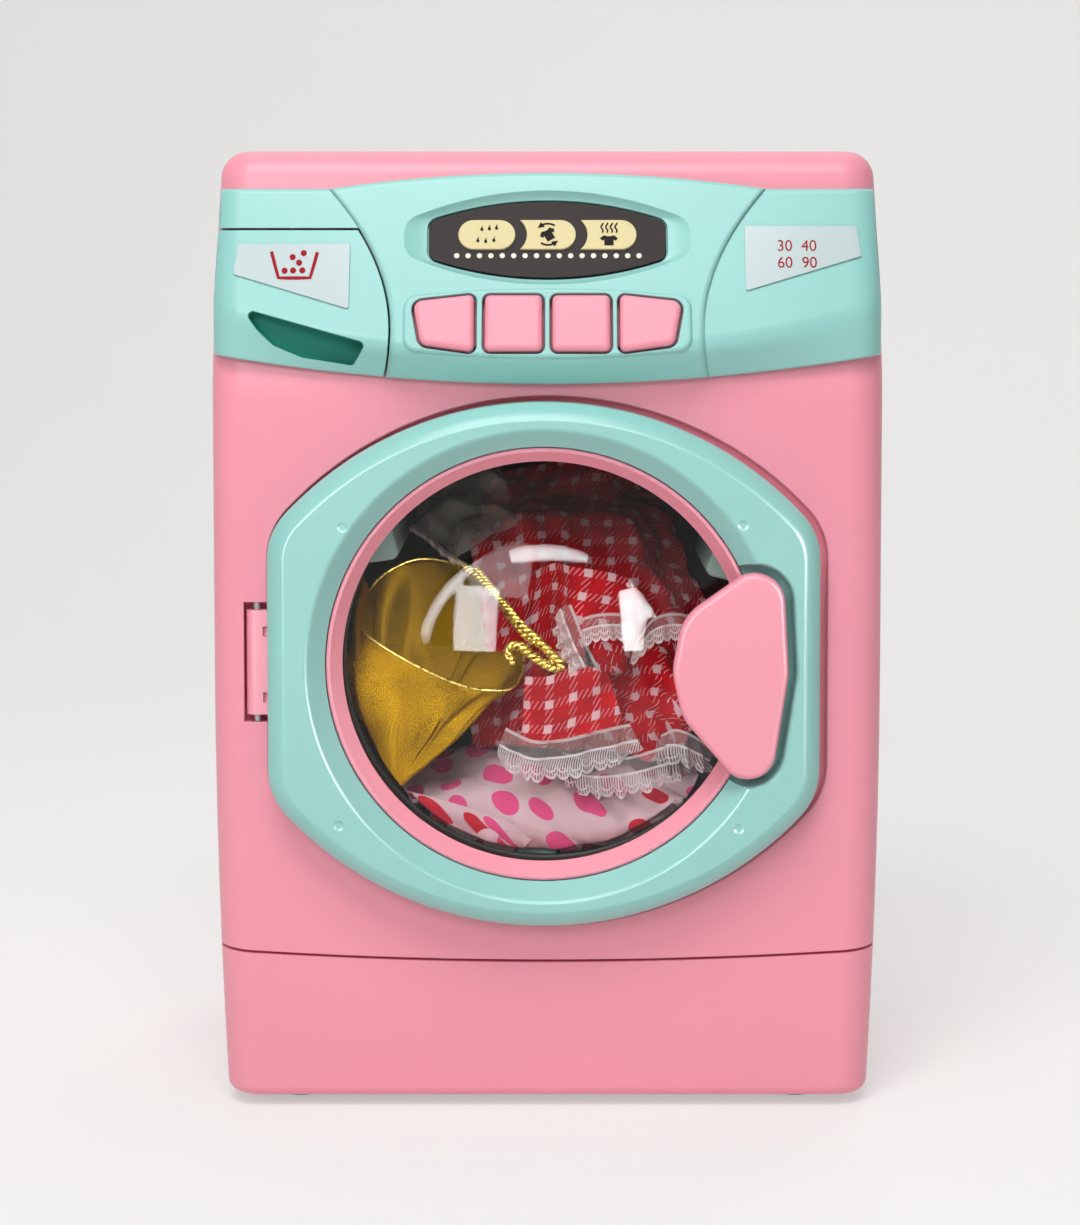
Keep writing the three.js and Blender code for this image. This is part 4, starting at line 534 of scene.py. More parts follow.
front_half = block(-BEYOND, BEYOND, -2, SPLIT_FRONT, 0, ABOVE)
front_shell = keep(copy(shell, "casing_front"), skirt(SEAM_GAP, ABOVE), front_half)
recess_wall = stack("tool", recess, [(1.1, -WALL), (RECESS_DEPTH + WALL, -WALL)], 0, DOOR_Z)
hinge_pocket = block(-87.8, -78.4, 1.1, 7.8, 105.5, 149.9)
port_collar = rod_y(PORT_RADIUS + WALL, RECESS_DEPTH, 10, 0, DOOR_Z, 96)
union(front_shell, recess_wall, hinge_pocket, port_collar)
HOLLOW_LEVELS = [(-2, -0.7), (0, -0.7), (0.2, -0.3), (0.7, 0), (3.5, 0), (RECESS_DEPTH, 0.5)]
hollow = stack("tool", recess, HOLLOW_LEVELS, 0, DOOR_Z)
hinge_hollow = block(-85.6, -78.4, -2, 5.6, 110.7, 144.7)
port = rod_y(PORT_RADIUS, -2, 60, 0, DOOR_Z, 96)
hinge_bore = rod_z("tool", 1.35, 107, 148.3, HINGE_X, HINGE_Y, 16)
latch_slot = block(66.8, 72.9, 0, 12, 132.4, 143)
peg_hole = rod_y(2.4, 0, 12, 69.4, 117.7, 24)
drawer_opening = block(-84.5, -52.5, -2, 30, 218.5, 243.5)
panel_opening = block(-43, 43, -2, 30, 211.5, 258.5)
cut(front_shell, hollow, hinge_hollow, port, hinge_bore, latch_slot, peg_hole, drawer_opening, panel_opening)
ready(front_shell, pink, "case", ["front_shell"])

rear_half = block(-BEYOND, BEYOND, SPLIT_REAR, BEHIND, 0, ABOVE)
rear_shell = keep(copy(shell, "casing_rear"), skirt(SEAM_GAP, ABOVE), rear_half)
union(rear_shell, block(-13.5, 13.5, 127.8, 136.9, 98.4, 108.4))
battery_opening = block(-27, 27, BACK_FACE, BEHIND, 50, 96.8)
lid_tab_opening = block(-13.2, 13.2, BACK_FACE, BEHIND, 94.8, 106.8)
lid_screw_bore = rod_y(1.4, 120, BEHIND, 0, 102.6, 16)
switch_opening = block(-51.4, -38.6, BACK_FACE, BEHIND, 221.5, 228.5)
cut(rear_shell, battery_opening, lid_tab_opening, lid_screw_bore, switch_opening,
    *[rod_y(3.3, 66.3, BEHIND, x, z, 32) for x, z in POSTS],
    *[block(x - 1.1, x + 1.1, BACK_FACE, BEHIND, 215, 235) for x in SOUND_SLOTS])
for i, (x, z) in enumerate(POSTS):
    well = rod_y(4.6, SPLIT_REAR, 137, x, z, 32, name=f"screw_post_{i + 1}")
    cut(well, rod_y(3.3, 66.3, BEHIND, x, z, 32))
    ready(well, pink, "case", ())
ready(rear_shell, pink, "case", ["rear_shell"])

base = keep(copy(shell, "plinth"), skirt(-SEAM_GAP, BELOW))
tongue = keep(cut(casing(2.5), casing(4.1)), block(-BEYOND, BEYOND, 0, DEEP, 34.9, 47.3))
tongue.name = "plinth_tongue"
ready(tongue, pink, "case", ())
ready(base, pink, "case", ["base"])
drop(shell)

FEET = {"front_left": (-71.5, 20), "front_right": (71.5, 20),
        "rear_left": (-71.5, 118), "rear_right": (71.5, 118)}
FOOT_PROFILE = [(8.4, 0.05), (8.9, 0.5), (9, 1.0), (9, 2.6), (3, 2.7), (3, 6.5)]
for name, (x, y) in FEET.items():
    rows = [[(px, py, z) for px, py in arc(x, y, radius, 0, TAU, 48)[:-1]] for radius, z in FOOT_PROFILE]
    ready(loft(f"rubber_foot_{name}", rows), rubber, "case", [f"foot_{name}"])


# Control panel form

CREASE_Y, CREASE_DROP, CREASE_Z, CREASE_RISE = -11, 8.6, 213.9, 13.5
LOWER_Y, LOWER_Z, LOWER_RISE, HEAD_BACK, INSIDE_Y = -1.8, 206.2, 8.2, 3.2, 30
END_REACH, END_RADIUS = 86.1, 8


def bent(start, corner, end, steps):
    """A soft bend at a corner between two points."""
    shares = [i / steps for i in range(steps + 1)]
    return [start * (1 - t) ** 2 + corner * 2 * t * (1 - t) + end * t ** 2 for t in shares]


def panel_row(x, drop_back, forward, top, inset):
    """The panel's outline across its height, with the crease above its undercut foot."""
    s = (x / PANEL_HALF) ** 2
    back = drop_back - forward
    crease = Vector((CREASE_Y + CREASE_DROP * s + back, CREASE_Z + CREASE_RISE * s))
    bottom = Vector((LOWER_Y + back, LOWER_Z + LOWER_RISE * s + inset))
    head = Vector((face_depth(top) - HEAD_BACK + back, top))
    below = crease + (bottom - crease).normalized() * 3.4
    above = crease + (head - crease).normalized() * 3.4
    lip = bottom + (crease - bottom).normalized() * 0.8
    shoulder = head + (crease - head).normalized() * 1.4
    points = [Vector((INSIDE_Y, bottom[1])), bottom + Vector((0.9, 0))]
    points += [bottom + (lip - bottom) * 0.45 + Vector((0.1, 0)), lip]
    points += bent(below, crease, above, 7) + bent(shoulder, head, Vector((head[0] + 1.4, top)), 3)
    points.append(Vector((INSIDE_Y, top)))
    return [(x, p[0], p[1]) for p in points]


def panel_form(forward, top_at, inset=0.0):
    """The panel moved forward, up to a top edge, with ends that bend back into the casing."""
    reach, rows = END_REACH - inset, []
    for i in range(8, 0, -1):
        t = QUARTER * i / 8
        rows.append((-reach - END_RADIUS * math.sin(t), END_RADIUS * (1 - math.cos(t))))
    rows += [(-reach + 2 * reach * i / 60, 0) for i in range(61)]
    rows += [(-x, back) for x, back in rows[7::-1]]
    return loft("panel", [panel_row(x, back, forward, top_at(x) - inset, inset) for x, back in rows])


def wing_top(x):
    return WING_TOP


def middle_top(x):
    return 265.5 - 4 * (x / 58) ** 2


def seam_x(z):
    return 43.5 + 16.5 * ((z - 220.9) / 38.1) ** 2


def seam_prism(margin):
    zs = [PANEL_FOOT + 63.3 * i / 40 for i in range(41)]
    right = [(seam_x(z) + margin, z) for z in zs]
    return prism("tool", right + [(-x, z) for x, z in reversed(right)], -BEYOND, BEYOND)


def drawer_prism(margin):
    high = 249.8 - margin
    zs = [PANEL_FOOT + (high - PANEL_FOOT) * i / 40 for i in range(41)]
    points = [(-BEYOND, PANEL_FOOT)] + [(-seam_x(z) - margin, z) for z in zs] + [(-BEYOND, high)]
    return prism("tool", points, -BEYOND, BEYOND)


def panel_sides():
    right = [(PANEL_HALF, PANEL_FOOT), (PANEL_HALF, 227.4), (92, 267.5)]
    return prism("tool", right + [(-x, z) for x, z in reversed(right)], -BEYOND, BEYOND)


console = (Matrix.Translation(place((0, BED_DEPTH, BED_HEIGHT))) @ Matrix.Rotation(-TILT, 4, "X")
           @ Matrix.Diagonal((MM, MM, MM, 1)))
plate_outline = crowned(33.2, 11.5, 96, 3)
lip_outline = crowned(42.2, 14.5, 96, 6)
EDGES = [(-37.4, -19.9), (-17.8, -1), (0.9, 17.8), (19.6, 37.4)]
BUTTON_HALF, BUTTON_CORNER = 8.6, 2


def button_outline(i):
    """A button's pad: its outer end is drawn in and rounder on the first and the last one."""
    first, last = int(i == 0), int(i == 3)
    left, right = EDGES[i]
    left_corner, right_corner = BUTTON_CORNER + first, BUTTON_CORNER + last
    low_left, low_right = 1.6 * first - BUTTON_HALF, 1.6 * last - BUTTON_HALF
    high_left, high_right = BUTTON_HALF - 1.5 * first, BUTTON_HALF - 1.5 * last
    return banded([(left + 1.5 * first + left_corner, low_left + left_corner, left_corner),
                   (right - 1.5 * last - right_corner, low_right + right_corner, right_corner),
                   (right - right_corner, high_right - right_corner, right_corner),
                   (left + left_corner, high_left - left_corner, left_corner)])


def lifted(points, depth):
    return [(x, depth, z + DISPLAY_RISE) for x, z in points]


def lip_hollow():
    """A tool for the sloping lip around the display, from the outer outline in to the plate."""
    rows = [lifted(lip_outline(-0.5), -1.6)]
    for i in range(9):
        t = i / 8
        depth = 2.8 * (1 - (1 - t) ** 1.5)
        pairs = zip(lip_outline(0), plate_outline(-0.5))
        rows.append(lifted([(a[0] * (1 - t) + b[0] * t, a[1] * (1 - t) + b[1] * t) for a, b in pairs], depth))
    rows.append(lifted(plate_outline(-0.5), 4.2))
    return loft("tool", rows, console)


RAISED_STEPS = [(0.15, 0), (0.45, -0.22), (0.72, -0.5), (0.9, -0.85), (1, -1.3)]
WELL_LEVELS = [(-3, -0.9), (-1.2, -0.9), (-0.7, -0.6), (0.1, -0.25), (9, -0.25)]
raised = [keep(panel_form(forward, middle_top), seam_prism(margin)) for forward, margin in RAISED_STEPS]
key_bed = stack("tool", crowned(40, 10.25, 330, 4), eased(-0.25, 6, 1.0), 0, 0.35, console)
panel = union(*raised, panel_form(0, wing_top), key_bed)
cut(panel, drawer_prism(0))
keep(panel, panel_sides())
cut(panel, keep(panel_form(-2.4, middle_top, 2.4), seam_prism(-2.4)))
through = [lifted(plate_outline(2), y) for y in (-2, 8)]
seat = cut(stack("tool", plate_outline, [(0, -2), (5.6, -2)], 0, DISPLAY_RISE, console),
           loft("tool", through, console))
union(panel, keep(seat, panel_form(1, middle_top)))
key_room = keep(block(-38.8, 38.8, 3.4, 30, -8.9, 10.4, console), panel_form(-1.2, middle_top, 1.2))
button_wells = [stack("tool", button_outline(i), WELL_LEVELS, world=console) for i in range(4)]
cut(panel, lip_hollow(), loft("tool", through, console), key_room, *button_wells)
union(panel, *[rod_y(1.6, 2.4, 9.6, x, 13.4, 20, console) for x in (-36.6, 36.6)])
cut(panel, casing(-0.3))
panel.name = "console_panel"
ready(panel, mint, "case", ["control_panel"])

KEY_FACE, KEY_BACK, KEY_FOOT, KEY_GAP = -1.8, 4.7, 3.7, 0.45
for i, (left, right) in enumerate(EDGES):
    levels = [(y, inset + KEY_GAP) for y, inset in eased(KEY_FACE, KEY_BACK, 1.5, 8)]
    key = stack(f"push_button_{i + 1}", button_outline(i), levels, world=console)
    flange = block(left - 0.3, right + 0.3, KEY_FOOT, KEY_BACK, -5.45 if i in (0, 3) else -8.15, 9.8, console)
    plunger = rod_y(1.8, KEY_FOOT, 8.1, (left + right) / 2, 0, 24, console)
    union(key, flange, plunger)
    ready(key, pink, f"button_{i + 1}", [f"button_{i + 1}"])

# Display plate, light windows, pictograms and the row of dots
PLATE_LEVELS = [(2.5, 0.35), (2.62, 0.08), (2.8, 0), (3.9, 0)]
display = stack("display_glass", plate_outline, PLATE_LEVELS, 0, DISPLAY_RISE, console)
ready(display, smoked, "case", ["display_plate"])

WINDOW_PITCH, WINDOW_Z, WINDOW_HALF, WINDOW_STRAIGHT = 17, 27.2, 4.4, 3.6
WINDOW_LEVELS = ((1.6, 0.22), (1.68, 0.06), (1.8, 0), (2.6, 0))


def capsule(index, grow):
    """A light window: the first is round at both ends, the others hug the one before them."""
    x, radius = WINDOW_PITCH * (index - 1), WINDOW_HALF - grow
    points = arc(x + WINDOW_STRAIGHT, WINDOW_Z, radius, -QUARTER, QUARTER, 14)
    if index == 0:
        return points + arc(x - WINDOW_STRAIGHT, WINDOW_Z, radius, QUARTER, 3 * QUARTER, 14)
    hollow = 6 + grow
    turn = math.asin(radius / hollow)
    return points + arc(x - 15.4 + WINDOW_STRAIGHT, WINDOW_Z, hollow, turn, -turn, 12)


for i in range(3):
    rows = [[(x, y, z) for x, z in capsule(i, grow)] for y, grow in WINDOW_LEVELS]
    window = loft(f"light_window_{i + 1}", rows, console)
    ready(window, cream, "case", [f"display_lens_{i + 1}"])


def flat_shape(name, outline, depth, material):
    """A thin mark on the display, drawn about the middle of the windows."""
    obj = prism(name, [(x, z + WINDOW_Z) for x, z in outline], depth - 0.12, depth, console)
    return ready(obj, material, "case")


def ribbon(points, width):
    """The outline of a line of even width along the points."""
    left, right = [], []
    for i, (x, z) in enumerate(points):
        ax, az = points[max(i - 1, 0)]
        bx, bz = points[min(i + 1, len(points) - 1)]
        d = math.hypot(bx - ax, bz - az) or 1
        nx, nz = -(bz - az) / d * width / 2, (bx - ax) / d * width / 2
        left.append((x + nx, z + nz))
        right.append((x - nx, z - nz))
    return left + right[::-1]


def drop_outline(x, z, size):
    points = [(0.16, 0.95)]
    for i in range(13):
        t = math.radians(55 - 290 * i / 12)
        points.append((0.42 * math.cos(t), 0.42 * math.sin(t) - 0.25))
    return [(x + size * px, z + size * pz) for px, pz in points]


ICON = 1.58
DROPS = ((-1.4, 1.7), (0.7, 1.9), (2.7, 2.1), (-2.5, -1.7), (-0.3, -1.9), (2.0, -1.6))
for i, (x, z) in enumerate(DROPS):
    flat_shape(f"icon_drop_{i + 1}", drop_outline(x - WINDOW_PITCH, z, 1.05), ICON, print_dark)
half_shirt = [(0.45, 1.1), (1.1, 1.4), (2.0, 0.5), (1.5, -0.2), (1.05, 0.15), (1.05, -1.6)]
shirt = half_shirt + [(-x, z) for x, z in reversed(half_shirt)]
tilted_shirt = [((x * 0.86 - z * 0.5) * 1.15 + 0.2, (x * 0.5 + z * 0.86) * 1.15) for x, z in shirt]
flat_shape("icon_shirt", tilted_shirt, ICON, print_dark)
SWEEP = 0.4 * math.pi
for i, start in enumerate((0.3 * math.pi, 1.3 * math.pi)):
    turns = [start + SWEEP * k / 10 for k in range(11)]
    sweep = [(0.1 + 3.3 * math.cos(t), 3.2 * math.sin(t)) for t in turns]
    flat_shape(f"icon_turn_{i + 1}", ribbon(sweep, 0.5), ICON, print_dark)
    tip, away = sweep[-1], start + SWEEP + QUARTER
    head = [(tip[0] + 1.1 * math.cos(away + a), tip[1] + 1.1 * math.sin(away + a)) for a in (0, 2.2, -2.2)]
    flat_shape(f"icon_turn_head_{i + 1}", head, ICON, print_dark)
flat_shape("icon_folded_shirt", [(17.2 + x * 1.25, z - 1.7) for x, z in shirt], ICON, print_dark)
for i in range(4):
    wave = [(15.3 + 1.3 * i + 0.3 * math.sin(k * 0.9), 0.5 + 0.33 * k) for k in range(10)]
    flat_shape(f"icon_steam_{i + 1}", ribbon(wave, 0.42), ICON, print_dark)
DOT_PITCH, DOT_Z = 3.19, -6.1
for i in range(17):
    dot = arc(DOT_PITCH * i - 25.4, DOT_Z, 0.75, 0, TAU, 16)[:-1]
    flat_shape(f"display_dot_{i + 1}", dot, 2.5, print_cream)


# Labels and what is printed on them

LABEL_LIFT, PRINT_LIFT, PRINT_THICK = 0.3, 0.6, 0.08
NUMERAL_SIZE, NUMERAL_X = 4.4, 64.2


def label_sheet(name, outline):
    """A thin sheet on the wing's face, cut to an outline of x and z."""
    sheet = cut(panel_form(2 * LABEL_LIFT, wing_top), panel_form(LABEL_LIFT, wing_top))
    keep(sheet, prism("tool", outline, -BEYOND, 15))
    sheet.name = name
    return sheet


def label_outline(side, rise):
    corners = [(55.9, 228.1), (87.3, 237.4), (86.2, 244.8), (55.9, 244.8)]
    circles = [(side * x, z + rise, 0.6) for x, z in corners]
    return banded(circles[::side])(0)


ready(label_sheet("tray_label", label_outline(-1, 0)), label_film, "drawer", ["drawer_label"])
ready(label_sheet("wing_label", label_outline(1, 5)), label_film, "case", ["panel_label"])


def wing_face(x, z):
    """How deep the wing's face lies above its crease."""
    s = (x / PANEL_HALF) ** 2
    crease_y, crease_z = CREASE_Y + CREASE_DROP * s, CREASE_Z + CREASE_RISE * s
    head_y = face_depth(WING_TOP) - HEAD_BACK
    return crease_y + (z - crease_z) / (WING_TOP - crease_z) * (head_y - crease_y)


def printed(name, outline):
    """A flat red mark that follows the wing's face, drawn as x and z."""
    front = [(x, wing_face(x, z) - PRINT_LIFT - PRINT_THICK, z) for x, z in outline]
    back = [(x, wing_face(x, z) - PRINT_LIFT, z) for x, z in outline]
    return ready(loft(name, [front, back]), print_red, "drawer")


printed("pictogram_tray", ribbon([mm_at(*p) for p in TRAY_PIXELS], 0.95))
for i, p in enumerate(TRAY_DOT_PIXELS):
    printed(f"pictogram_dot_{i + 1}", arc(*mm_at(*p), 0.86, 0, TAU, 18)[:-1])


def numerals(name, text, x, z):
    """Raised print of plain numerals on the wing's face, from its lower left corner."""
    curve = bpy.data.curves.new(name, "FONT")
    curve.body = text
    curve.size = 1.0
    holder = bpy.data.objects.new(name, curve)
    bpy.context.collection.objects.link(holder)
    mesh = bpy.data.meshes.new_from_object(holder.evaluated_get(bpy.context.evaluated_depsgraph_get()))
    bpy.data.objects.remove(holder)
    bm = bmesh.new()
    bm.from_mesh(mesh)
    made = bmesh.ops.extrude_face_region(bm, geom=bm.faces[:])
    raised = {v for v in made["geom"] if isinstance(v, bmesh.types.BMVert)}
    for v in bm.verts:
        px, pz = x + v.co.x * NUMERAL_SIZE, z + v.co.y * NUMERAL_SIZE
        lift = PRINT_LIFT + (PRINT_THICK if v in raised else 0)
        v.co = place((px, wing_face(px, pz) - lift, pz))
    bmesh.ops.recalc_face_normals(bm, faces=bm.faces)
    bm.to_mesh(mesh)
    bm.free()
    mesh.name = name
    obj = bpy.data.objects.new(name, mesh)
    bpy.context.collection.objects.link(obj)
    return ready(obj, print_red, "case")


numerals("numerals_upper", "30  40", NUMERAL_X, 243.4)
numerals("numerals_lower", "60  90", NUMERAL_X, 238.7)

# Drawer
drawer_face = keep(panel_form(0, wing_top), drawer_prism(0.6), panel_sides())
GRIP_CORNERS = ((-54.9, 212.9), (-52.4, 217), (-82, 225.2), (-80, 222.4), (-75.6, 218.2), (-68, 215))
grip = banded([(x, z, 1.4) for x, z in GRIP_CORNERS])
TRAY_LEFT, TRAY_RIGHT, TRAY_LOW, TRAY_HIGH = -84, -53, 219, 243
cut(drawer_face, casing(-0.3))
plug = keep(block(TRAY_LEFT, TRAY_RIGHT, -11, 8.9, TRAY_LOW, TRAY_HIGH), panel_form(-1.4, wing_top))
union(drawer_face, plug)
cut(drawer_face, stack("tool", grip, [(-BEYOND, 0), (0.4, 0)]))
drawer_face.name = "drawer_face"
ready(drawer_face, mint, "drawer", ["drawer_front"])

# A darker sheet lines the finger recess of the drawer: painted shade in the recess
shade_sheet = stack("grip_shade_sheet", grip, [(-30, 0.02), (0.3, 0.02)])
cut(shade_sheet, stack("tool", grip, [(-31, 0.3), (-0.3, 0.3), (0.05, 0.7)]))
keep(shade_sheet, panel_form(-0.35, wing_top))
ready(shade_sheet, deep_mint, "drawer")

tray = block(TRAY_LEFT, TRAY_RIGHT, 9.2, 62, TRAY_LOW, TRAY_HIGH)
for left, right in ((-82.6, -66.7), (-65.3, -54.4)):
    cut(tray, block(left, right, 10.6, 60.6, 220.4, 245))
tray.name = "detergent_tray"
ready(tray, tray_mint, "drawer", ["drawer_tray"])

# Door
DOOR_FRONT, RING_BACK, BEZEL_BACK = -12, 0.5, 3.6
BEVEL = [(0, 5.2), (0.12, 4.7), (0.45, 4.0), (1.1, 3.0), (2.0, 2.0), (3.1, 1.15), (4.2, 0.45), (5.0, 0.05),
         (5.4, 0)]
door_outline = crowned(77.25, 73.7, 99, 19, 56)


def on_door(outline, levels, name="tool"):
    return stack(name, outline, levels, DOOR_X, DOOR_Z)


def turned_on_door(profile):
    return turned("tool", profile, DOOR_X, DOOR_Z)


def door_levels(front, back, inset=0.0):
    return [(front + depth, i + inset) for depth, i in BEVEL] + [(back, inset)]


ring = on_door(door_outline, door_levels(DOOR_FRONT, RING_BACK), "door_rim")
cone_wall = rod_y(68, DOOR_FRONT, 2.5, DOOR_X, DOOR_Z, 128)
cut(ring, cut(on_door(door_outline, door_levels(-9.8, 2.5, 2.2)), cone_wall))
union(ring, *[rod_y(3.6, -10.9, RING_BACK, x, z, 32) for x, z in BOSSES])

# The handle is a band around five circles in units of its size; the band meets the largest one twice
HANDLE_X, HANDLE_SIZE = 68.3, 32
LARGEST = (-0.509, -0.031, 0.5)
HANDLE_CIRCLES = (LARGEST, (-0.556, -0.25, 0.406), (-0.359, -0.728, 0.244), LARGEST, (-0.303, 0.5625, 0.2625),
                  (-0.531, 0.1875, 0.4375))
circles = [(HANDLE_X + HANDLE_SIZE * x, HANDLE_SIZE * z, HANDLE_SIZE * r) for x, z, r in HANDLE_CIRCLES]
handle = banded(circles, 20)
notch_wall = on_door(handle, [(DOOR_FRONT, -4.6), (-0.8, -4.6)])
union(ring, keep(notch_wall, on_door(door_outline, door_levels(DOOR_FRONT, RING_BACK))))
NOTCH_LEVELS = [(-14, -3.1), (DOOR_FRONT, -3.1), (-11.6, -2.75), (-11.0, -2.4), (-3.6, -2.4), (-3, -1.8)]
notch = on_door(handle, NOTCH_LEVELS)
ring_hole = turned_on_door([(0, -14), (68.2, -14), (67.2, -12.15), (66.1, -11.7), (65.4, -11.1), (61.2, -6),
                            (61.2, 2.5), (0, 2.5)])
cut(ring, notch, ring_hole, *[rod_y(1.35, -8.8, 2.5, x, z, 16) for x, z in BOSSES])
ready(ring, door_mint, "door", ["door_ring"])

# Inner frame: its plate and rim, the hinge leaf with two slots, the latch hook and a peg
LEAF_LOW, LEAF_HIGH = 112.9, 142.5
HOOK_LOW, HOOK_HIGH = 133.7, 141.7
frame_plate = on_door(door_outline, [(0.8, 1.0), (1.0, 0.8), (3.4, 0.8), (BEZEL_BACK, 1.0)], "door_bezel")
bezel = turned_on_door([(0, -6), (60.4, -6), (60.9, -5.6), (60.9, BEZEL_BACK), (0, BEZEL_BACK)])
knuckle = rod_z("tool", 3, LEAF_LOW, LEAF_HIGH, HINGE_X, HINGE_Y, 32)
leaf = union(block(HINGE_X, -75.6, -1, BEZEL_BACK, LEAF_LOW, LEAF_HIGH), knuckle)
cut(leaf, on_door(door_outline, [(DOOR_FRONT, -0.3), (0.65, -0.3)]),
    *[block(-80.1, -78.3, -2, 0.4, z - 1.4, z + 1.4) for z in (136.5, 117.8)])
hook = [block(68.1, 70.7, 0.8, 9.6, HOOK_LOW, HOOK_HIGH), block(69.4, 71.6, 7, 9.6, HOOK_LOW, HOOK_HIGH)]
union(frame_plate, bezel, leaf, *hook, rod_y(1.6, 0.8, 7.6, 69.4, 117.7, 24))
frame_hole = turned_on_door([(0, -8), (59.9, -8), (59.9, -6.1), (59.6, -5.7), (57.1, -0.5), (56.8, -0.2),
                             (56.8, 0.8), (59.6, 0.8), (59.6, 5.6), (0, 5.6)])
cut(frame_plate, frame_hole, rod_z("tool", 1.35, 100, 150, HINGE_X, HINGE_Y, 20))
for radius, near, sides in ((1.5, -1.2, 16), (3.1, 1.5, 32)):
    cut(frame_plate, *[rod_y(radius, near, 5, x, z, sides) for x, z in BOSSES])
ready(frame_plate, pink, "door", ["door_frame"])

# Handle: a rounded pad on a stem that stands in the notch of the ring
pad = on_door(handle, eased(-13.6, -9.35, 1.6, 8) + [(-9.1, 0.1), (-9, 0.35)], "door_pull")
stem = stack("tool", rounded(61.95, 65.55, -14, 10, 1.2), [(-10.5, 0), (-3.3, 0)], 0, DOOR_Z)
ready(union(pad, stem), pink, "door", ["door_handle"])


# Window: a clear disc with a low dome pressed outwards
def dome(radius, height, depth):
    sphere = (radius ** 2 + height ** 2) / (2 * height)
    turns = [math.asin(radius / sphere) * i / 26 for i in range(27)]
    return [(sphere * math.sin(t), depth - height + sphere * (1 - math.cos(t))) for t in turns]


def eased_dome(radius, height, depth):
    """The dome, with a small bend where it meets the flat rim of the disc."""
    points = dome(radius, height, depth)
    rim = (radius + 2.6, depth)
    start, corner, end = Vector(points[-3]), Vector((radius, depth)), Vector(rim)
    return points[:-2] + [tuple(p) for p in bent(start, corner, end, 8)[1:-1]] + [rim]


def see_through(name, tint, rough, ior, mirror):
    """Clear plastic: it passes lamps and sight, with a sheen that grows towards the rim of a curve."""
    material, tree, bsdf = shader(name, Base_Color=(1, 1, 1, 1), Metallic=1)
    link(tree, ranged(tree, grain(tree, scale=90, detail=3), rough, rough + 0.03), bsdf.inputs["Roughness"])
    normal = bumped(tree, grain(tree, scale=26, detail=1), 0.35, 0.05)
    link(tree, normal, bsdf.inputs["Normal"])
    gloss = add(tree, "Fresnel", IOR=ior)
    link(tree, normal, gloss.inputs["Normal"])
    share = (Amount(tree, gloss.outputs["Fac"]) * mirror).math("MINIMUM", 0.16)
    passing = add(tree, "BsdfTransparent")
    passing.inputs["Color"].default_value = (*tint, 1)
    surface(tree, share, passing.outputs["BSDF"], bsdf.outputs["BSDF"])
    return material


clear = see_through("clear_plastic", (0.985, 0.985, 0.985), 0.015, 1.5, 0.27)
outer_side = eased_dome(35, 7, 1.1) + [(58.9, 1.1), (59.3, 1.45), (59.3, 2.8), (59.1, 3.1)]
pane = turned("door_pane", outer_side + eased_dome(34, 6.75, 3.1)[::-1], DOOR_X, DOOR_Z, 160)
ready(pane, clear, "door", ["door_window"], 40)

# Screws: pan heads with a rolled rim and a cross
PAN_HEAD = [(0, 1.9), (1.2, 1.85), (2.0, 1.6), (2.55, 1.1), (2.8, 0.45), (2.8, 0.1), (2.65, 0), (1.25, 0)]
CROSS_LONG, CROSS_THIN = 1.7, 0.33


def pan_screw(name, x, z, seat, length, node, body):
    shaft = [(1.25, -length + 1.6), (0.25, -length), (0, -length)]
    obj = turned(name, [(radius, seat + rise) for radius, rise in PAN_HEAD + shaft], x, z, 40)
    cut(obj, *[block(x - wide, x + wide, seat + 0.7, seat + 2.4, z - high, z + high)
               for wide, high in ((CROSS_LONG, CROSS_THIN), (CROSS_THIN, CROSS_LONG))])
    return ready(obj, steel, body, [node])


for i, (x, z) in enumerate(BOSSES):
    pan_screw(f"door_screw_head_{i + 1}", x, z, 1.8, 9, f"door_screw_{i + 1}", "door")
pin = rod_z("hinge_rod", 1.2, 107.7, 147.7, HINGE_X, HINGE_Y, 32)
ready(pin, steel, "case", ["hinge_pin"])

# Drum: a dark bowl with a rolled mouth, a hub at its back and three paddles
HUB = [(60.6, 81.4), (3.15, 81.4), (3.15, 73.4), (7.3, 73.4), (8, 74), (9.2, 75.4), (16, 78.2), (40, 79.3)]
INNER_WALL = [(56.4, 79.8), (58.4, 79.3), (59.2, 78.4), (59.4, 77), (59.4, 15.4), (58.9, 14.4)]
MOUTH = [(57.75, 13.3), (57.6, 12.9), (57.6, 11.9), (58.1, 11.4), (59.2, 11.4), (60.6, 12.2), (61, 13)]
bowl = turned("drum_bowl", [(61, 13), (61, 80.9)] + HUB + INNER_WALL + MOUTH, 0, DOOR_Z, 160)
ready(bowl, drum_plastic, "drum", ["drum"], 30)

VANE_OUTER, VANE_TALL, VANE_FOOT_HALF = 59.1, 7.5, 6
VANE_LEVELS = ((17.4, 1.15), (17.55, 0.75), (18.0, 0.42), (18.8, 0.15), (19.8, 0), (77.5, 0), (77.9, 0.3))


def paddle(name, angle):
    """A vane with a round crest, seen along the drum's axis and turned about it."""
    foot = math.sqrt(VANE_OUTER ** 2 - VANE_FOOT_HALF ** 2) - 1.2
    crest = VANE_OUTER - VANE_TALL + 2.6
    outline = banded([(foot, -4.8, 1.2), (foot, 4.8, 1.2), (crest, 0, 2.6)], 10)
    cos, sin = math.cos(angle), math.sin(angle)
    return loft(name, [[(x * cos - z * sin, y, x * sin + z * cos + DOOR_Z) for x, z in outline(inset * 0.6)]
                       for y, inset in VANE_LEVELS])


for i, angle in enumerate(VANE_ANGLES):
    vane = paddle(f"drum_paddle_{i + 1}", angle)
    ready(vane, pale_mint, "drum", [f"drum_vane_{i + 1}"])

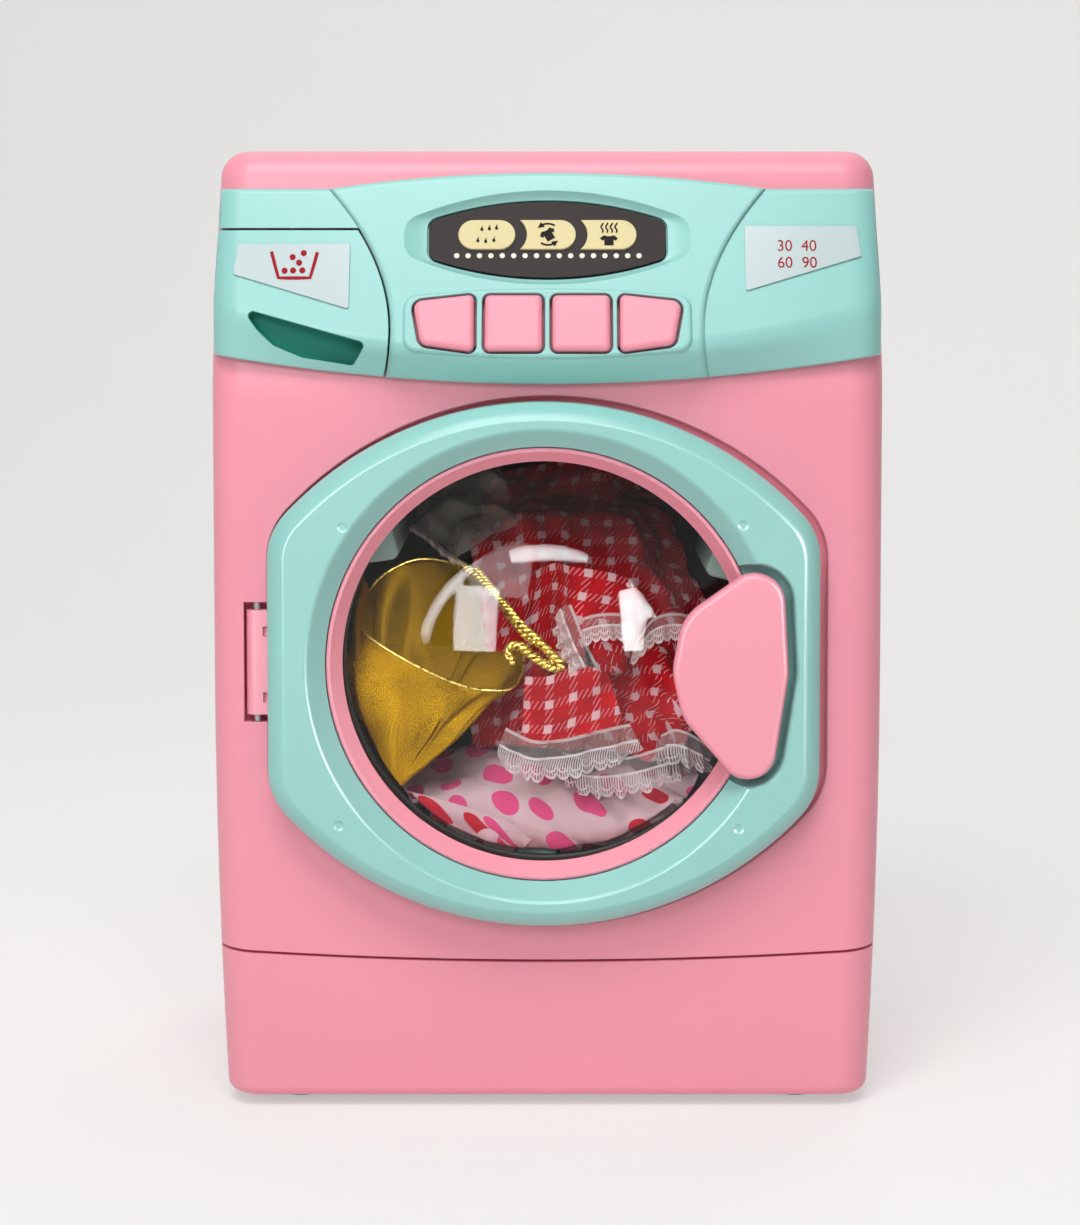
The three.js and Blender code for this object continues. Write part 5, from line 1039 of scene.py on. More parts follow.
# Back: battery lid with grip ribs, slide knob with ridges
LID_LEVELS = [(136.1, 0.3), (136.4, 0), (137.6, 0), (138, 0.4)]
LID_SCREW_Z = 102.6
lid = stack("battery_lid", rounded(-26.7, 26.7, 50.3, 96.2, 1.5), LID_LEVELS)
lid_tab = stack("tool", rounded(-12.9, 12.9, 92, 106.5, 1.5), LID_LEVELS)
union(lid, lid_tab, block(-12.9, 12.9, 134.1, 137, 99, 106.5))
cut(lid, rod_y(1.5, 130, 139, 0, LID_SCREW_Z, 20), rod_y(3.1, 136, 139, 0, LID_SCREW_Z, 40),
    *[block(-9, 9, 137.5, 139, z - 0.7, z + 0.7) for z in (84, 87.2, 90.4)])
ready(lid, pink, "case", ["battery_cover"])
pan_screw("lid_screw", 0, LID_SCREW_Z, 136.3, 8, "cover_screw", "case")

knob = block(-50.9, -44.1, 134.8, 139.4, 222, 228)
union(knob, block(-55, -40, 134.1, 135.5, 219, 231))
cut(knob, *[block(x - 0.4, x + 0.4, 138.8, 140, 221, 229) for x in (-49.8, -48.3, -46.7, -45.2)])
knob.name = "slide_knob"
ready(knob, dark_plastic, "switch", ["switch_knob"])

# Clothes: sheets drawn by a net of points, each given as it is seen through the window, with its depth
# The view's step in the photograph's pixels, and where the view begins from x = 0 and z = 0
VIEW_STEP = 0.2806
VIEW_COLUMN, VIEW_ROW = -207.5, 680
# How far cloth may reach from the drum's axis, and how deep it may lie
DRUM_REACH, MOUTH_REACH, VANE_REACH, VANE_CLEAR = 58.3, 56.0, 50.4, 7.4
CLOTH_NEAR, CLOTH_FAR = 9.5, 77


def spot(column, row, depth):
    """A point of the window's view, counted in its steps, at a depth behind the front face."""
    spread = (EYE_AWAY + depth) / EYE_AWAY
    x = (VIEW_COLUMN + column * VIEW_STEP) * PIXEL
    z = (VIEW_ROW - row * VIEW_STEP) * PIXEL
    return (x * spread, depth, EYE_HEIGHT + (z - EYE_HEIGHT) * spread)


def inside(p):
    """Keeps a point clear of the drum's wall and of the paddles."""
    x, y, z = p[0], p[1], p[2] - DOOR_Z
    away = math.hypot(x, z)
    if away < 30:
        return p
    limit = DRUM_REACH if y > 15.5 else MOUTH_REACH
    if y > 15:
        for angle in VANE_ANGLES:
            turn = math.atan2(z, x) - angle
            side = abs(away * math.sin(turn))
            if math.cos(turn) > 0 and side < VANE_CLEAR:
                limit = min(limit, VANE_REACH + max(side - 3, 0) * 1.86)
    if away > limit:
        x, z = x * limit / away, z * limit / away
    return (x, min(max(y, CLOTH_NEAR), CLOTH_FAR), z + DOOR_Z)


def smooth_line(points, count):
    """Catmull-Rom through the points, at even steps of the index."""
    pts = np.array(points, float)
    pts = np.concatenate([[2 * pts[0] - pts[1]], pts, [2 * pts[-1] - pts[-2]]])
    t = np.linspace(0, len(points) - 1, count)
    k = np.minimum(t.astype(int), len(points) - 2)
    f = (t - k).reshape(-1, *([1] * (pts.ndim - 1)))
    a, b, c, d = (pts[k + i] for i in range(4))
    square, cube = 2 * a - 5 * b + 4 * c - d, 3 * b - a - 3 * c + d
    return 0.5 * (2 * b + (c - a) * f + square * f ** 2 + cube * f ** 3)


def net(rows, across, along):
    """A fine net through rows of points: across counts the columns, along the rows."""
    wide = np.array([smooth_line([spot(*p) for p in row], across) for row in rows])
    return smooth_line(wide, along)


def lengths(fine):
    """How far each point lies along its row and along its column, in millimetres."""
    across = np.linalg.norm(np.diff(fine, axis=1), axis=2)
    down = np.linalg.norm(np.diff(fine, axis=0), axis=2)
    u = np.concatenate([np.zeros((fine.shape[0], 1)), np.cumsum(across, 1)], 1)
    v = np.concatenate([np.zeros((1, fine.shape[1])), np.cumsum(down, 0)], 0)
    return u, v


def normals_of(fine):
    out = np.cross(np.gradient(fine, axis=1), np.gradient(fine, axis=0))
    return out / np.maximum(np.linalg.norm(out, axis=2, keepdims=True), 1e-9)


def wrinkled(fine, size, height, seed):
    """Moves the net out of its own surface by smooth noise of a given size."""
    u, v = lengths(fine)
    n = normals_of(fine)
    out = fine.copy()
    for i, j in np.ndindex(*u.shape):
        p = Vector((u[i, j] / size + seed, v[i, j] / size - seed, seed * 1.7))
        out[i, j] += n[i, j] * height * (noise.noise(p) + 0.4 * noise.noise(p * 2.3))
    return out


def ruffled(fine, period, height, seed):
    """Waves that grow from the first row, which is sewn down, to the last."""
    u, v = lengths(fine)
    n = normals_of(fine)
    grow = (v / v[-1:].max()) ** 0.8
    wander = np.array([noise.noise(Vector((x / 23, seed, 0))) * 2.4 for x in u[0]])
    turn = TAU * u[0] / period
    wave = np.sin(turn + wander * 2) + 0.35 * np.sin(turn * 1.9 + wander * 3 + seed)
    return fine + n * (height * grow * wave)[..., None]


SHEETS = {}


def sheet(name, fine, material, nodes, flat, held, rests, thick=0.3, wrap=False, uv=None):
    """A sheet of cloth from its net; wrap joins its last column to the first."""
    rows, cols = fine.shape[:2]
    u, v = uv or lengths(fine)
    faces = []
    for i in range(rows - 1):
        for j in range(cols - (0 if wrap else 1)):
            k = (j + 1) % cols
            faces.append((i * cols + j, i * cols + k, (i + 1) * cols + k, (i + 1) * cols + j))
    mesh = bpy.data.meshes.new(name)
    mesh.from_pydata([place(inside(tuple(p))) for row in fine for p in row], [], faces)
    layer = mesh.uv_layers.new(name="weave")
    for poly in mesh.polygons:
        seam = wrap and poly.vertices[0] % cols == cols - 1
        for loop in poly.loop_indices:
            i, j = divmod(mesh.loops[loop].vertex_index, cols)
            along = u[i, j]
            if seam and j == 0:
                along = u[i, cols - 1] + np.linalg.norm(fine[i, 0] - fine[i, cols - 1])
            layer.data[loop].uv = (along, v[i, j])
    mesh.shade_smooth()
    mesh.materials.append(material)
    obj = bpy.data.objects.new(name, mesh)
    bpy.context.collection.objects.link(obj)
    mod = obj.modifiers.new("thickness", "SOLIDIFY")
    mod.thickness = thick * MM
    mod.offset = 0
    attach(obj, "drum")
    if nodes:
        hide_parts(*nodes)
    material in SLOTTED
    if flat:
        SHEETS[name] = (obj, flat, held, list(rests), [])
    return obj


# Cloth materials

def weave_uv(tree):
    split = add(tree, "SeparateXYZ")
    link(tree, add(tree, "UVMap", uv_map="weave").outputs["UV"], split.inputs[0])
    return Amount(tree, split.outputs["X"]), Amount(tree, split.outputs["Y"])


def threads(tree, bsdf, u, v, pitch):
    """Bump of a plain weave, one thread to each pitch in millimetres."""
    wave = (u * (TAU / pitch)).math("SINE") * (v * (TAU / pitch)).math("SINE")
    link(tree, bumped(tree, wave, 0.6, 0.05), bsdf.inputs["Normal"])


def fabric(name, rough=0.85, sheen=0.15):
    material, tree, bsdf = shader(name, Sheen_Weight=sheen, Sheen_Roughness=0.4, Specular_IOR_Level=0.25)
    u, v = weave_uv(tree)
    dull = grain(tree, scale=130, detail=3)
    link(tree, ranged(tree, dull, rough - 0.08, min(rough + 0.08, 1)), bsdf.inputs["Roughness"])
    threads(tree, bsdf, u, v, 0.42)
    return material, tree, bsdf, u, v, dull


def painted_shade_by_depth(tree, most, start, end):
    """Rises to the most from one depth behind the front face to another, in millimetres: the share of painted
    shade deeper in the drum.
    """
    split = add(tree, "SeparateXYZ")
    link(tree, object_place(tree), split.inputs[0])
    return ranged(tree, split.outputs["Y"], 0, most, FRONT + start * MM, FRONT + end * MM)


CHECK = 7.0


def gingham(name, red, white):
    """Red and white checks: where only one thread is red, slanting lines show a twill. Painted shade darkens
    the cloth to a dark red deeper in the drum.
    """
    material, tree, bsdf, u, v, dull = fabric(name, 0.8, 0.05)
    warp = (u / CHECK).math("FRACT") > 0.34
    weft = (v / CHECK).math("FRACT") > 0.34
    twill = ((u * 0.8 + v * 0.55) / 1.3).math("FRACT")
    shown = (warp * (twill > 0.13)).math("MAXIMUM", weft * (twill < 0.87))
    deep = blended(tree, ranged(tree, dull, 0, 1), scaled(red, 0.72), scaled(red, 1.1))
    tone = blended(tree, shown, white, deep)
    # Painted shade: the cloth darkens towards a dark red from 24 to 50 mm behind the front face
    shaded = blended(tree, painted_shade_by_depth(tree, 0.62, 24, 50), tone, scaled(red, 0.2))
    link(tree, shaded, bsdf.inputs["Base Color"])
    return material


def dotted(name, ground):
    """Pale cotton with printed dots of two reds and several sizes."""
    material, tree, bsdf, u, v, dull = fabric(name)
    flat = add(tree, "CombineXYZ")
    link(tree, u, flat.inputs[0])
    link(tree, v, flat.inputs[1])
    cells = add(tree, "TexVoronoi", voronoi_dimensions="2D", Scale=0.082, Randomness=0.6)
    link(tree, flat.outputs[0], cells.inputs["Vector"])
    split = add(tree, "SeparateColor")
    link(tree, cells.outputs["Color"], split.inputs[0])
    dot = Amount(tree, cells.outputs["Distance"]) < Amount(tree, split.outputs[0]) * 0.16 + 0.2
    tone = blended(tree, Amount(tree, split.outputs[1]) > 0.62, (0.85, 0.09, 0.28), (0.62, 0.015, 0.04))
    cloth = blended(tree, ranged(tree, dull, 0, 1), scaled(ground, 0.93), ground)
    link(tree, blended(tree, dot, cloth, tone), bsdf.inputs["Base Color"])
    return material


def organza(name, color, cover, deep=1.0):
    """Sheer cloth: fine bright threads, gaps that let sight and lamps through, and painted shade that darkens
    its tone deeper in the drum.
    """
    material, tree, bsdf = shader(name, Metallic=0.4, Specular_IOR_Level=0.02)
    u, v = weave_uv(tree)
    haze = grain(tree, scale=60, detail=3)
    tone = blended(tree, ranged(tree, haze, 0, 1), scaled(color, 0.75), scaled(color, 1.15))
    # Painted shade: from 18 to 44 mm behind the front face the tone darkens to the colour times deep
    shaded = blended(tree, painted_shade_by_depth(tree, 0.8, 18, 44), tone, scaled(color, deep))
    link(tree, shaded, bsdf.inputs["Base Color"])
    link(tree, ranged(tree, haze, 0.28, 0.45), bsdf.inputs["Roughness"])
    threads(tree, bsdf, u, v, 0.6)
    mesh = (u * (TAU / 0.75)).math("SINE").math("MAXIMUM", (v * (TAU / 0.75)).math("SINE"))
    steep = Amount(tree, add(tree, "LayerWeight", Blend=0.35).outputs["Facing"])
    link(tree, (mesh * 0.1 + cover + steep * 0.4).math("MINIMUM", 1.0), bsdf.inputs["Alpha"])
    return material


def lace(name, color, period=5.0, height=9.0, sheer=0.08):
    """Net lace: a scalloped border line, bars that stand on a cord, and a sheer ground."""
    material, tree, bsdf = shader(name, Roughness=0.8, Sheen_Weight=0.3)
    u, v = weave_uv(tree)
    mottled(tree, bsdf, grain(tree, scale=160, detail=3), scaled(color, 0.85), color)
    across = (u / period).math("FRACT") - 0.5
    bow = (across * across * -4.0 + 1.0).math("MAXIMUM", 0.0).math("SQRT")
    off = v - (bow * (height * 0.2) + height * 0.78)
    rim = off.math("ABSOLUTE") < 0.34
    inner = (off + 1.5).math("ABSOLUTE") < 0.2
    within = off < 0.0
    low = height * 0.45
    bars = ((u / (period / 5)).math("FRACT") < 0.36) * within * (v > low)
    cord = (v - low).math("ABSOLUTE") < 0.26
    hem = (v < 0.7) * 0.6
    mesh = ((u + v) / 0.9).math("FRACT") < 0.3
    alpha = within * (mesh * 0.2 + sheer)
    for part in (rim, inner, bars, cord, hem):
        alpha = alpha.math("MAXIMUM", part)
    link(tree, alpha * 0.66, bsdf.inputs["Alpha"])
    return material


gingham_cloth = gingham("red_gingham", (0.62, 0.003, 0.012), (0.82, 0.5, 0.54))
dotted_cloth = dotted("dotted_cotton", (0.77, 0.55, 0.59))
# The gold bag's last value, 0.35, sets how dark its painted shade grows towards the back of the drum
gold_organza = organza("gold_organza", (0.36, 0.195, 0.001), 0.6, 0.35)
veil = organza("pale_veil", (0.6, 0.57, 0.5), 0.12)
white_lace = lace("white_lace", (1, 0.94, 0.94))
fine_lace = lace("fine_lace", (1, 0.88, 0.88), 3.4, 6.5, 0.06)

SLOTTED = (gingham_cloth, dotted_cloth, gold_organza)

# Dotted cloth in the bottom of the drum
DOTS = [[(150, 1180, 46), (420, 1090, 50), (720, 1060, 50), (1020, 1090, 48), (1300, 1160, 44)],
        [(170, 1230, 34), (420, 1170, 34), (720, 1150, 33), (1020, 1160, 34), (1290, 1200, 34)],
        [(220, 1290, 22), (430, 1290, 19), (700, 1290, 17), (1000, 1290, 19), (1270, 1250, 24)],
        [(270, 1340, 15), (450, 1390, 13), (720, 1410, 12), (980, 1390, 13), (1230, 1300, 17)],
        [(300, 1370, 15), (470, 1445, 14), (730, 1478, 13), (960, 1450, 14), (1200, 1340, 18)],
        [(330, 1385, 22), (490, 1460, 21), (730, 1490, 20), (940, 1462, 21), (1170, 1360, 24)]]
sheet("laundry_dots", wrinkled(net(DOTS, 110, 100), 14, 3.4, 4.2), dotted_cloth, ["laundry_cloth"],
      (0.088, 0.058), "folded", ["drum_bowl"])
# A corner of it lies folded over towards the front left
CORNER = [[(225, 1262, 17), (330, 1290, 13.5), (470, 1330, 12), (600, 1375, 12), (690, 1440, 12.5)],
          [(262, 1300, 14.5), (350, 1335, 12), (470, 1375, 11), (590, 1415, 11.2), (668, 1462, 12)],
          [(330, 1370, 13), (400, 1405, 12), (480, 1435, 12), (580, 1462, 12), (650, 1474, 13)]]
sheet("laundry_dots_corner", wrinkled(net(CORNER, 60, 30), 12, 0.8, 9.1), dotted_cloth, (),
      (0.035, 0.0105, 0.00027), "folded", ["laundry_dots"])

# Dress: the crumpled back, a lit panel over it, and a flap with a lace hem in front
BACK = [[(560, 120, 66), (700, 75, 68), (860, 70, 68), (1010, 110, 68), (1130, 200, 66)],
        [(500, 260, 56), (690, 210, 58), (870, 190, 58), (1040, 240, 58), (1220, 380, 57)],
        [(470, 400, 45), (650, 360, 44), (860, 350, 43), (1060, 400, 44), (1290, 560, 45)],
        [(500, 600, 36), (680, 540, 33), (870, 560, 30), (1100, 640, 31), (1310, 760, 34)],
        [(500, 800, 34), (690, 790, 31), (900, 800, 26), (1110, 850, 24), (1290, 930, 27)],
        [(470, 960, 36), (700, 960, 31), (930, 980, 25), (1110, 1020, 22), (1240, 1080, 23)],
        [(480, 1100, 38), (720, 1100, 32), (940, 1120, 29), (1100, 1140, 27), (1200, 1150, 27)]]
sheet("laundry_dress_back", wrinkled(net(BACK, 110, 130), 15, 5.5, 2.3), gingham_cloth, ["laundry_dress"],
      (0.07, 0.105), "gathered", ["laundry_dots"])
PANEL = [[(700, 470, 27), (770, 440, 20), (835, 455, 14.5), (930, 470, 15), (1050, 500, 19)],
         [(690, 560, 29), (760, 545, 24), (835, 560, 13.5), (940, 575, 13), (1060, 590, 18)],
         [(680, 650, 29), (755, 640, 25), (850, 665, 13.5), (950, 680, 13), (1055, 690, 18)],
         [(700, 730, 29), (780, 735, 24), (880, 770, 14), (970, 780, 14), (1040, 790, 19)],
         [(720, 800, 29), (800, 810, 24), (905, 830, 15.5), (970, 835, 16), (1020, 835, 20)]]
sheet("laundry_dress_panel", wrinkled(net(PANEL, 80, 80), 11, 1.4, 5.5), gingham_cloth, (),
      (0.038, 0.031), "gathered", ["laundry_dress_back"])
FLAP = [[(660, 850, 15), (740, 850, 12.4), (820, 820, 11.6), (900, 800, 12.2), (935, 790, 15)],
        [(652, 930, 14), (740, 925, 11.6), (840, 905, 11), (920, 880, 11.6), (965, 860, 14)],
        [(648, 1010, 13.4), (750, 1000, 11.2), (850, 975, 10.6), (930, 960, 11.2), (990, 935, 13)],
        [(640, 1095, 13), (750, 1090, 11), (860, 1065, 10.4), (950, 1045, 11), (1010, 1035, 12.6)]]
sheet("laundry_dress_flap", wrinkled(net(FLAP, 70, 60), 10, 1.3, 7.7), gingham_cloth, (),
      (0.028, 0.02), "gathered", ["laundry_dress_back"])


def strip(name, rows, material, period, height, seed, on, across, along, tall):
    """A gathered strip of lace, sewn by its first row to the sheet that it is on."""
    flat = net(rows, across, along)
    u, v = lengths(flat)
    weave = (u * 1.35, v / v[-1:].mean() * tall)
    fine = ruffled(flat, period, height, seed)
    SHEETS[on][4].append(sheet(name, fine, material, (), None, "gathered", [on], 0.22, uv=weave))


# Lace: the hem of the flap, a second hem behind it, the frills of the panel and a tuft on the right
HEM_FRONT = [[(590, 1035, 13), (690, 1080, 10.6), (800, 1075, 10.2), (920, 1045, 10.4), (1035, 1020, 12)],
             [(560, 1120, 12.4), (670, 1180, 10.4), (790, 1175, 10), (930, 1130, 10.2), (1070, 1090, 12)],
             [(570, 1165, 13), (680, 1240, 11), (790, 1230, 10.6), (940, 1190, 10.8), (1085, 1110, 12.6)]]
HEM_BACK = [[(790, 1120, 16), (900, 1150, 14), (1030, 1140, 13.4), (1140, 1110, 14), (1230, 1090, 17)],
            [(800, 1200, 15), (900, 1240, 13), (1030, 1230, 12.4), (1150, 1190, 13), (1250, 1150, 16)],
            [(810, 1245, 15.4), (910, 1290, 13.6), (1040, 1290, 13), (1160, 1250, 13.6), (1265, 1195, 16.4)]]
FRILL_SIDE = [[(825, 590, 12.4), (850, 650, 11.4), (880, 730, 11), (915, 800, 11.4), (935, 835, 12.6)],
              [(790, 600, 12.6), (800, 670, 11.4), (815, 745, 11), (845, 810, 11.4), (880, 850, 12.6)],
              [(765, 640, 14), (770, 700, 12.4), (782, 770, 12), (812, 830, 12.4), (850, 862, 13.6)]]
FRILL_MIDDLE = [[(860, 640, 12), (910, 625, 11.4), (970, 620, 11.6), (1045, 625, 14)],
                [(868, 710, 11.6), (920, 715, 10.8), (980, 715, 11), (1050, 715, 13.6)],
                [(880, 800, 12.4), (930, 825, 11.4), (985, 825, 11.6), (1030, 810, 14)]]
FRILL_RIGHT = [[(1060, 720, 16), (1120, 640, 16), (1200, 620, 17.5), (1290, 640, 21)],
               [(1040, 790, 16), (1120, 760, 15.4), (1210, 740, 17), (1300, 740, 20.4)],
               [(1050, 850, 17), (1130, 850, 16.4), (1215, 830, 18), (1290, 800, 21)]]
TUFT = [[(1150, 1060, 15), (1200, 1040, 12.6), (1260, 1060, 13), (1330, 1110, 16)],
        [(1130, 1130, 14.6), (1190, 1120, 11.6), (1260, 1130, 12), (1340, 1150, 15.6)],
        [(1150, 1195, 15.4), (1210, 1220, 13), (1270, 1215, 13.4), (1350, 1190, 16.4)]]
strip("lace_hem_front", HEM_FRONT, white_lace, 7.5, 1.5, 1.3, "laundry_dress_flap", 160, 22, 9)
strip("lace_hem_back", HEM_BACK, white_lace, 6.5, 1.6, 4.1, "laundry_dress_back", 160, 22, 9)
strip("lace_frill_side", FRILL_SIDE, fine_lace, 5, 1.1, 2.2, "laundry_dress_panel", 110, 18, 6.5)
strip("lace_frill_middle", FRILL_MIDDLE, fine_lace, 6, 1.1, 6.4, "laundry_dress_panel", 90, 22, 13)
strip("lace_frill_right", FRILL_RIGHT, fine_lace, 5.5, 1.2, 8.8, "laundry_dress_back", 100, 22, 13)
strip("lace_tuft", TUFT, white_lace, 5, 1.5, 3.3, "laundry_dress_back", 110, 24, 11)

# Pale veil with a lace edge behind, upper left
VEIL = [[(250, 300, 52), (330, 200, 54), (440, 120, 56), (560, 90, 58)],
        [(330, 350, 44), (420, 270, 43), (510, 210, 46), (600, 190, 50)],
        [(420, 430, 38), (480, 380, 35), (550, 340, 38), (620, 320, 42)]]
VEIL_EDGE = [[(250, 300, 49), (320, 345, 43), (380, 400, 38), (450, 445, 35)],
             [(242, 320, 48), (310, 364, 42), (368, 418, 37), (444, 461, 34)]]
sheet("laundry_veil", wrinkled(net(VEIL, 70, 50), 9, 4.5, 1.1), veil, (),
      (0.031, 0.03), "gathered", ["laundry_dress_back"])
strip("lace_veil_edge", VEIL_EDGE, fine_lace, 4, 0.9, 2.9, "laundry_veil", 90, 10, 6.5)

# Gold cone: an open bag of sheer cloth with a stitched rim, drawn from its rim to its tip
RIM = [(60, 650, 24), (85, 695, 18), (180, 762, 14.5), (300, 828, 13), (430, 883, 12.8), (530, 900, 14.5),
       (620, 888, 19), (655, 800, 27), (632, 680, 35), (575, 565, 41), (490, 482, 44), (380, 436, 45),
       (262, 430, 43), (150, 485, 38), (80, 570, 31)]
TIP = (190, 1268, 10.5)
closed = [spot(*p) for p in RIM]
spans = len(RIM) + 4
loop = smooth_line(closed[-2:] + closed + closed[:3], 200 * spans // len(RIM))
loop = loop[int(len(loop) * 2 / spans):int(len(loop) * (len(RIM) + 2) / spans)]


def around(width, rise):
    """Smooth noise around the rim, one value for each of its points."""
    turns = [TAU * j / len(loop) for j in range(len(loop))]
    return np.array([noise.noise(Vector((math.cos(t) * width, math.sin(t) * width, rise))) for t in turns])


apex = np.array(spot(*TIP))
drawn_left = np.clip((loop[:, 0].mean() - loop[:, 0]) / 22, 0, 1) * 4.6
cone = []
for i in range(70):
    t = i / 69
    ring = loop * (1 - t) + (apex + (loop - apex) * 0.02) * t
    ring[:, 0] -= drawn_left * math.sin(math.pi * t) ** 0.9
    pleats = around(2.2, t * 1.6) * 0.3 + around(7, 5 + t) * 0.16 * t
    swell = pleats * math.sin(math.pi * min(t * 1.15, 1)) ** 0.8
    cone.append(ring + (ring - ring.mean(axis=0)) * swell[:, None])
sheet("laundry_bag", np.array(cone), gold_organza, ["laundry_cone"], (0.13, 0.055, 0.0038), "gathered",
      ["laundry_dots"], 0.2, wrap=True)

# A fold of it stands against the drum's wall
FOLD = [[(70, 470, 24), (84, 500, 21), (100, 540, 22)], [(46, 560, 21), (60, 590, 18), (80, 620, 20)],
        [(36, 660, 19), (52, 680, 16.4), (72, 700, 18)], [(38, 770, 18), (52, 775, 15.8), (70, 780, 17)],
        [(50, 870, 17.5), (58, 870, 16), (68, 862, 17)]]
fold = wrinkled(net(FOLD, 18, 60), 7, 0.5, 6.6)
SHEETS["laundry_bag"][4].append(sheet("bag_fold", fold, gold_organza, (), None, "gathered", (), 0.2))


def tube(name, path, radius, material, sides, closed=False):
    """A round cord along the path, with a frame that turns as little as it can."""
    pts = [Vector(p) for p in path]
    count = len(pts)
    verts, faces = [], []
    up = Vector((0, 0, 1))
    for i, p in enumerate(pts):
        before, after = (i - 1) % count, (i + 1) % count
        if not closed:
            before, after = max(i - 1, 0), min(i + 1, count - 1)
        ahead = (pts[after] - pts[before]).normalized()
        side = ahead.cross(up)
        if side.length < 0.2:
            side = ahead.cross(Vector((0, 1, 0)))
        side.normalize()
        up = side.cross(ahead).normalized()
        for k in range(sides):
            t = TAU * k / sides
            verts.append(tuple(p + (side * math.cos(t) + up * math.sin(t)) * radius))
    for i in range(count - (0 if closed else 1)):
        for k in range(sides):
            m, n = (i + 1) % count, (k + 1) % sides
            faces.append((i * sides + k, i * sides + n, m * sides + n, m * sides + k))
    if not closed:
        faces += [tuple(range(sides))[::-1], tuple((count - 1) * sides + k for k in range(sides))]
    return ready(make(name, verts, faces), material, "drum", angle=60)


def glitter(name, color):
    """Metal thread: bright and dull specks."""
    material, tree, bsdf = shader(name, Metallic=0.8)
    spark = grain(tree, scale=900, detail=3)
    mottled(tree, bsdf, spark, scaled(color, 0.35), scaled(color, 1.5))
    link(tree, ranged(tree, spark, 0.2, 0.5), bsdf.inputs["Roughness"])
    link(tree, bumped(tree, spark, 0.8, 0.06), bsdf.inputs["Normal"])
    return material


gold_thread = glitter("gold_thread", (0.6, 0.44, 0.1))
rim_line = [inside(tuple(p)) for p in loop[::2]]
SHEETS["laundry_bag"][4].append(tube("bag_rim_cord", rim_line, 0.42, gold_thread, 8, closed=True))


def twisted(name, points, radius, pitch):
    """Two strands laid around each other along a smooth route."""
    path = smooth_line([spot(*p) for p in points], 60 * len(points))
    gone = np.concatenate([[0], np.cumsum(np.linalg.norm(np.diff(path, axis=0), axis=1))])
    step = pitch / 14
    stops = np.arange(0, gone[-1], step)
    even = np.stack([np.interp(stops, gone, path[:, k]) for k in range(3)], axis=1)
    ahead = np.gradient(even, axis=0)
    ahead /= np.linalg.norm(ahead, axis=1, keepdims=True)
    side = np.cross(ahead, (0.0, 1.0, 0.0))
    side /= np.linalg.norm(side, axis=1, keepdims=True)
    up = np.cross(side, ahead)
    for k in range(2):
        turn = TAU * np.arange(len(even)) * step / pitch + math.pi * k
        line = even + radius * (np.cos(turn)[:, None] * side + np.sin(turn)[:, None] * up)
        tube(f"{name}_{k + 1}", line, radius * 0.98, gold_thread, 7)


LONG_ROPE = [(395, 430, 42), (470, 475, 33), (540, 545, 24), (590, 600, 17), (640, 660, 12.5),
             (700, 715, 10.9), (750, 765, 10.5), (785, 800, 10.6), (790, 815, 11.4), (760, 822, 11.8),
             (700, 790, 11.6), (650, 750, 11.8), (610, 740, 13), (600, 775, 14), (620, 800, 15)]
SHORT_ROPE = [(480, 460, 34), (560, 560, 22), (610, 640, 14.5), (660, 700, 12), (720, 740, 11.8),
              (760, 785, 12.4), (740, 800, 13), (690, 770, 13), (640, 735, 13), (600, 750, 14)]
twisted("gold_rope_long", LONG_ROPE, 0.72, 3.6)
twisted("gold_rope_short", SHORT_ROPE, 0.66, 3.3)

# Solids that stay as they are take a moulded or turned finish
FINISHES = {
    steel: ["case_screw_1", "case_screw_2", "case_screw_3", "case_screw_4", "drum_axle", "motor"],
    bronze: ["axle_bush"],
    white_plastic: ["drum_gear", "compound_gear_1", "compound_gear_2", "motor_pinion", "gear_plate",
                    "battery_box"],
    dark_plastic: ["key_mat", "speaker"],
    board_green: ["control_board"],
    cell_blue: ["battery_1", "battery_2", "battery_3"],
    drum_plastic: ["tub"],
    deep_mint: ["drawer_housing"],
}
for material, names in FINISHES.items():
    for name in names:
        finishes = bpy.data.objects[name].data.materials
        finishes.clear()
        finishes.append(material)


# Floor, light and camera

def glowing(name, color, share):
    """A matt backdrop that looks a little paler to the camera and in reflections, and keeps its shadows."""
    material, tree, bsdf = shader(name, Roughness=0.9, Specular_IOR_Level=0.1)
    mottled(tree, bsdf, grain(tree, scale=3), color, scaled(color, 1.02))
    glow = add(tree, "Emission")
    glow.inputs["Color"].default_value = (1, 1, 1, 1)
    path = add(tree, "LightPath")
    seen = Amount(tree, path.outputs["Is Camera Ray"]).math("MAXIMUM", path.outputs["Is Glossy Ray"])
    surface(tree, seen * share, bsdf.outputs["BSDF"], glow.outputs["Emission"])
    return material


# The floor rises in one sweep behind the object; all of it is in metres
FLOOR_NEAR, FLOOR_FAR, SWEEP_RADIUS, FLOOR_HALF, WALL_TOP = -2.6, 0.9, 0.7, 3.5, 3.2


def backdrop():
    bends = arc(FLOOR_FAR, SWEEP_RADIUS, SWEEP_RADIUS, -QUARTER, 0, 12)
    profile = [(FLOOR_NEAR, 0), (FLOOR_FAR, 0)] + bends + [(FLOOR_FAR + SWEEP_RADIUS, WALL_TOP)]
    verts = [(x, y, z) for y, z in profile for x in (-FLOOR_HALF, FLOOR_HALF)]
    faces = [(2 * i, 2 * i + 1, 2 * i + 3, 2 * i + 2) for i in range(len(profile) - 1)]
    mesh = bpy.data.meshes.new("floor_sweep")
    mesh.from_pydata(verts, [], faces)
    obj = bpy.data.objects.new("floor_sweep", mesh)
    bpy.context.collection.objects.link(obj)
    mesh.shade_smooth()
    mesh.materials.append(glowing("floor_paper", (0.84, 0.83, 0.81), 0.45))


AIM = Vector((0, 0, 0.14))


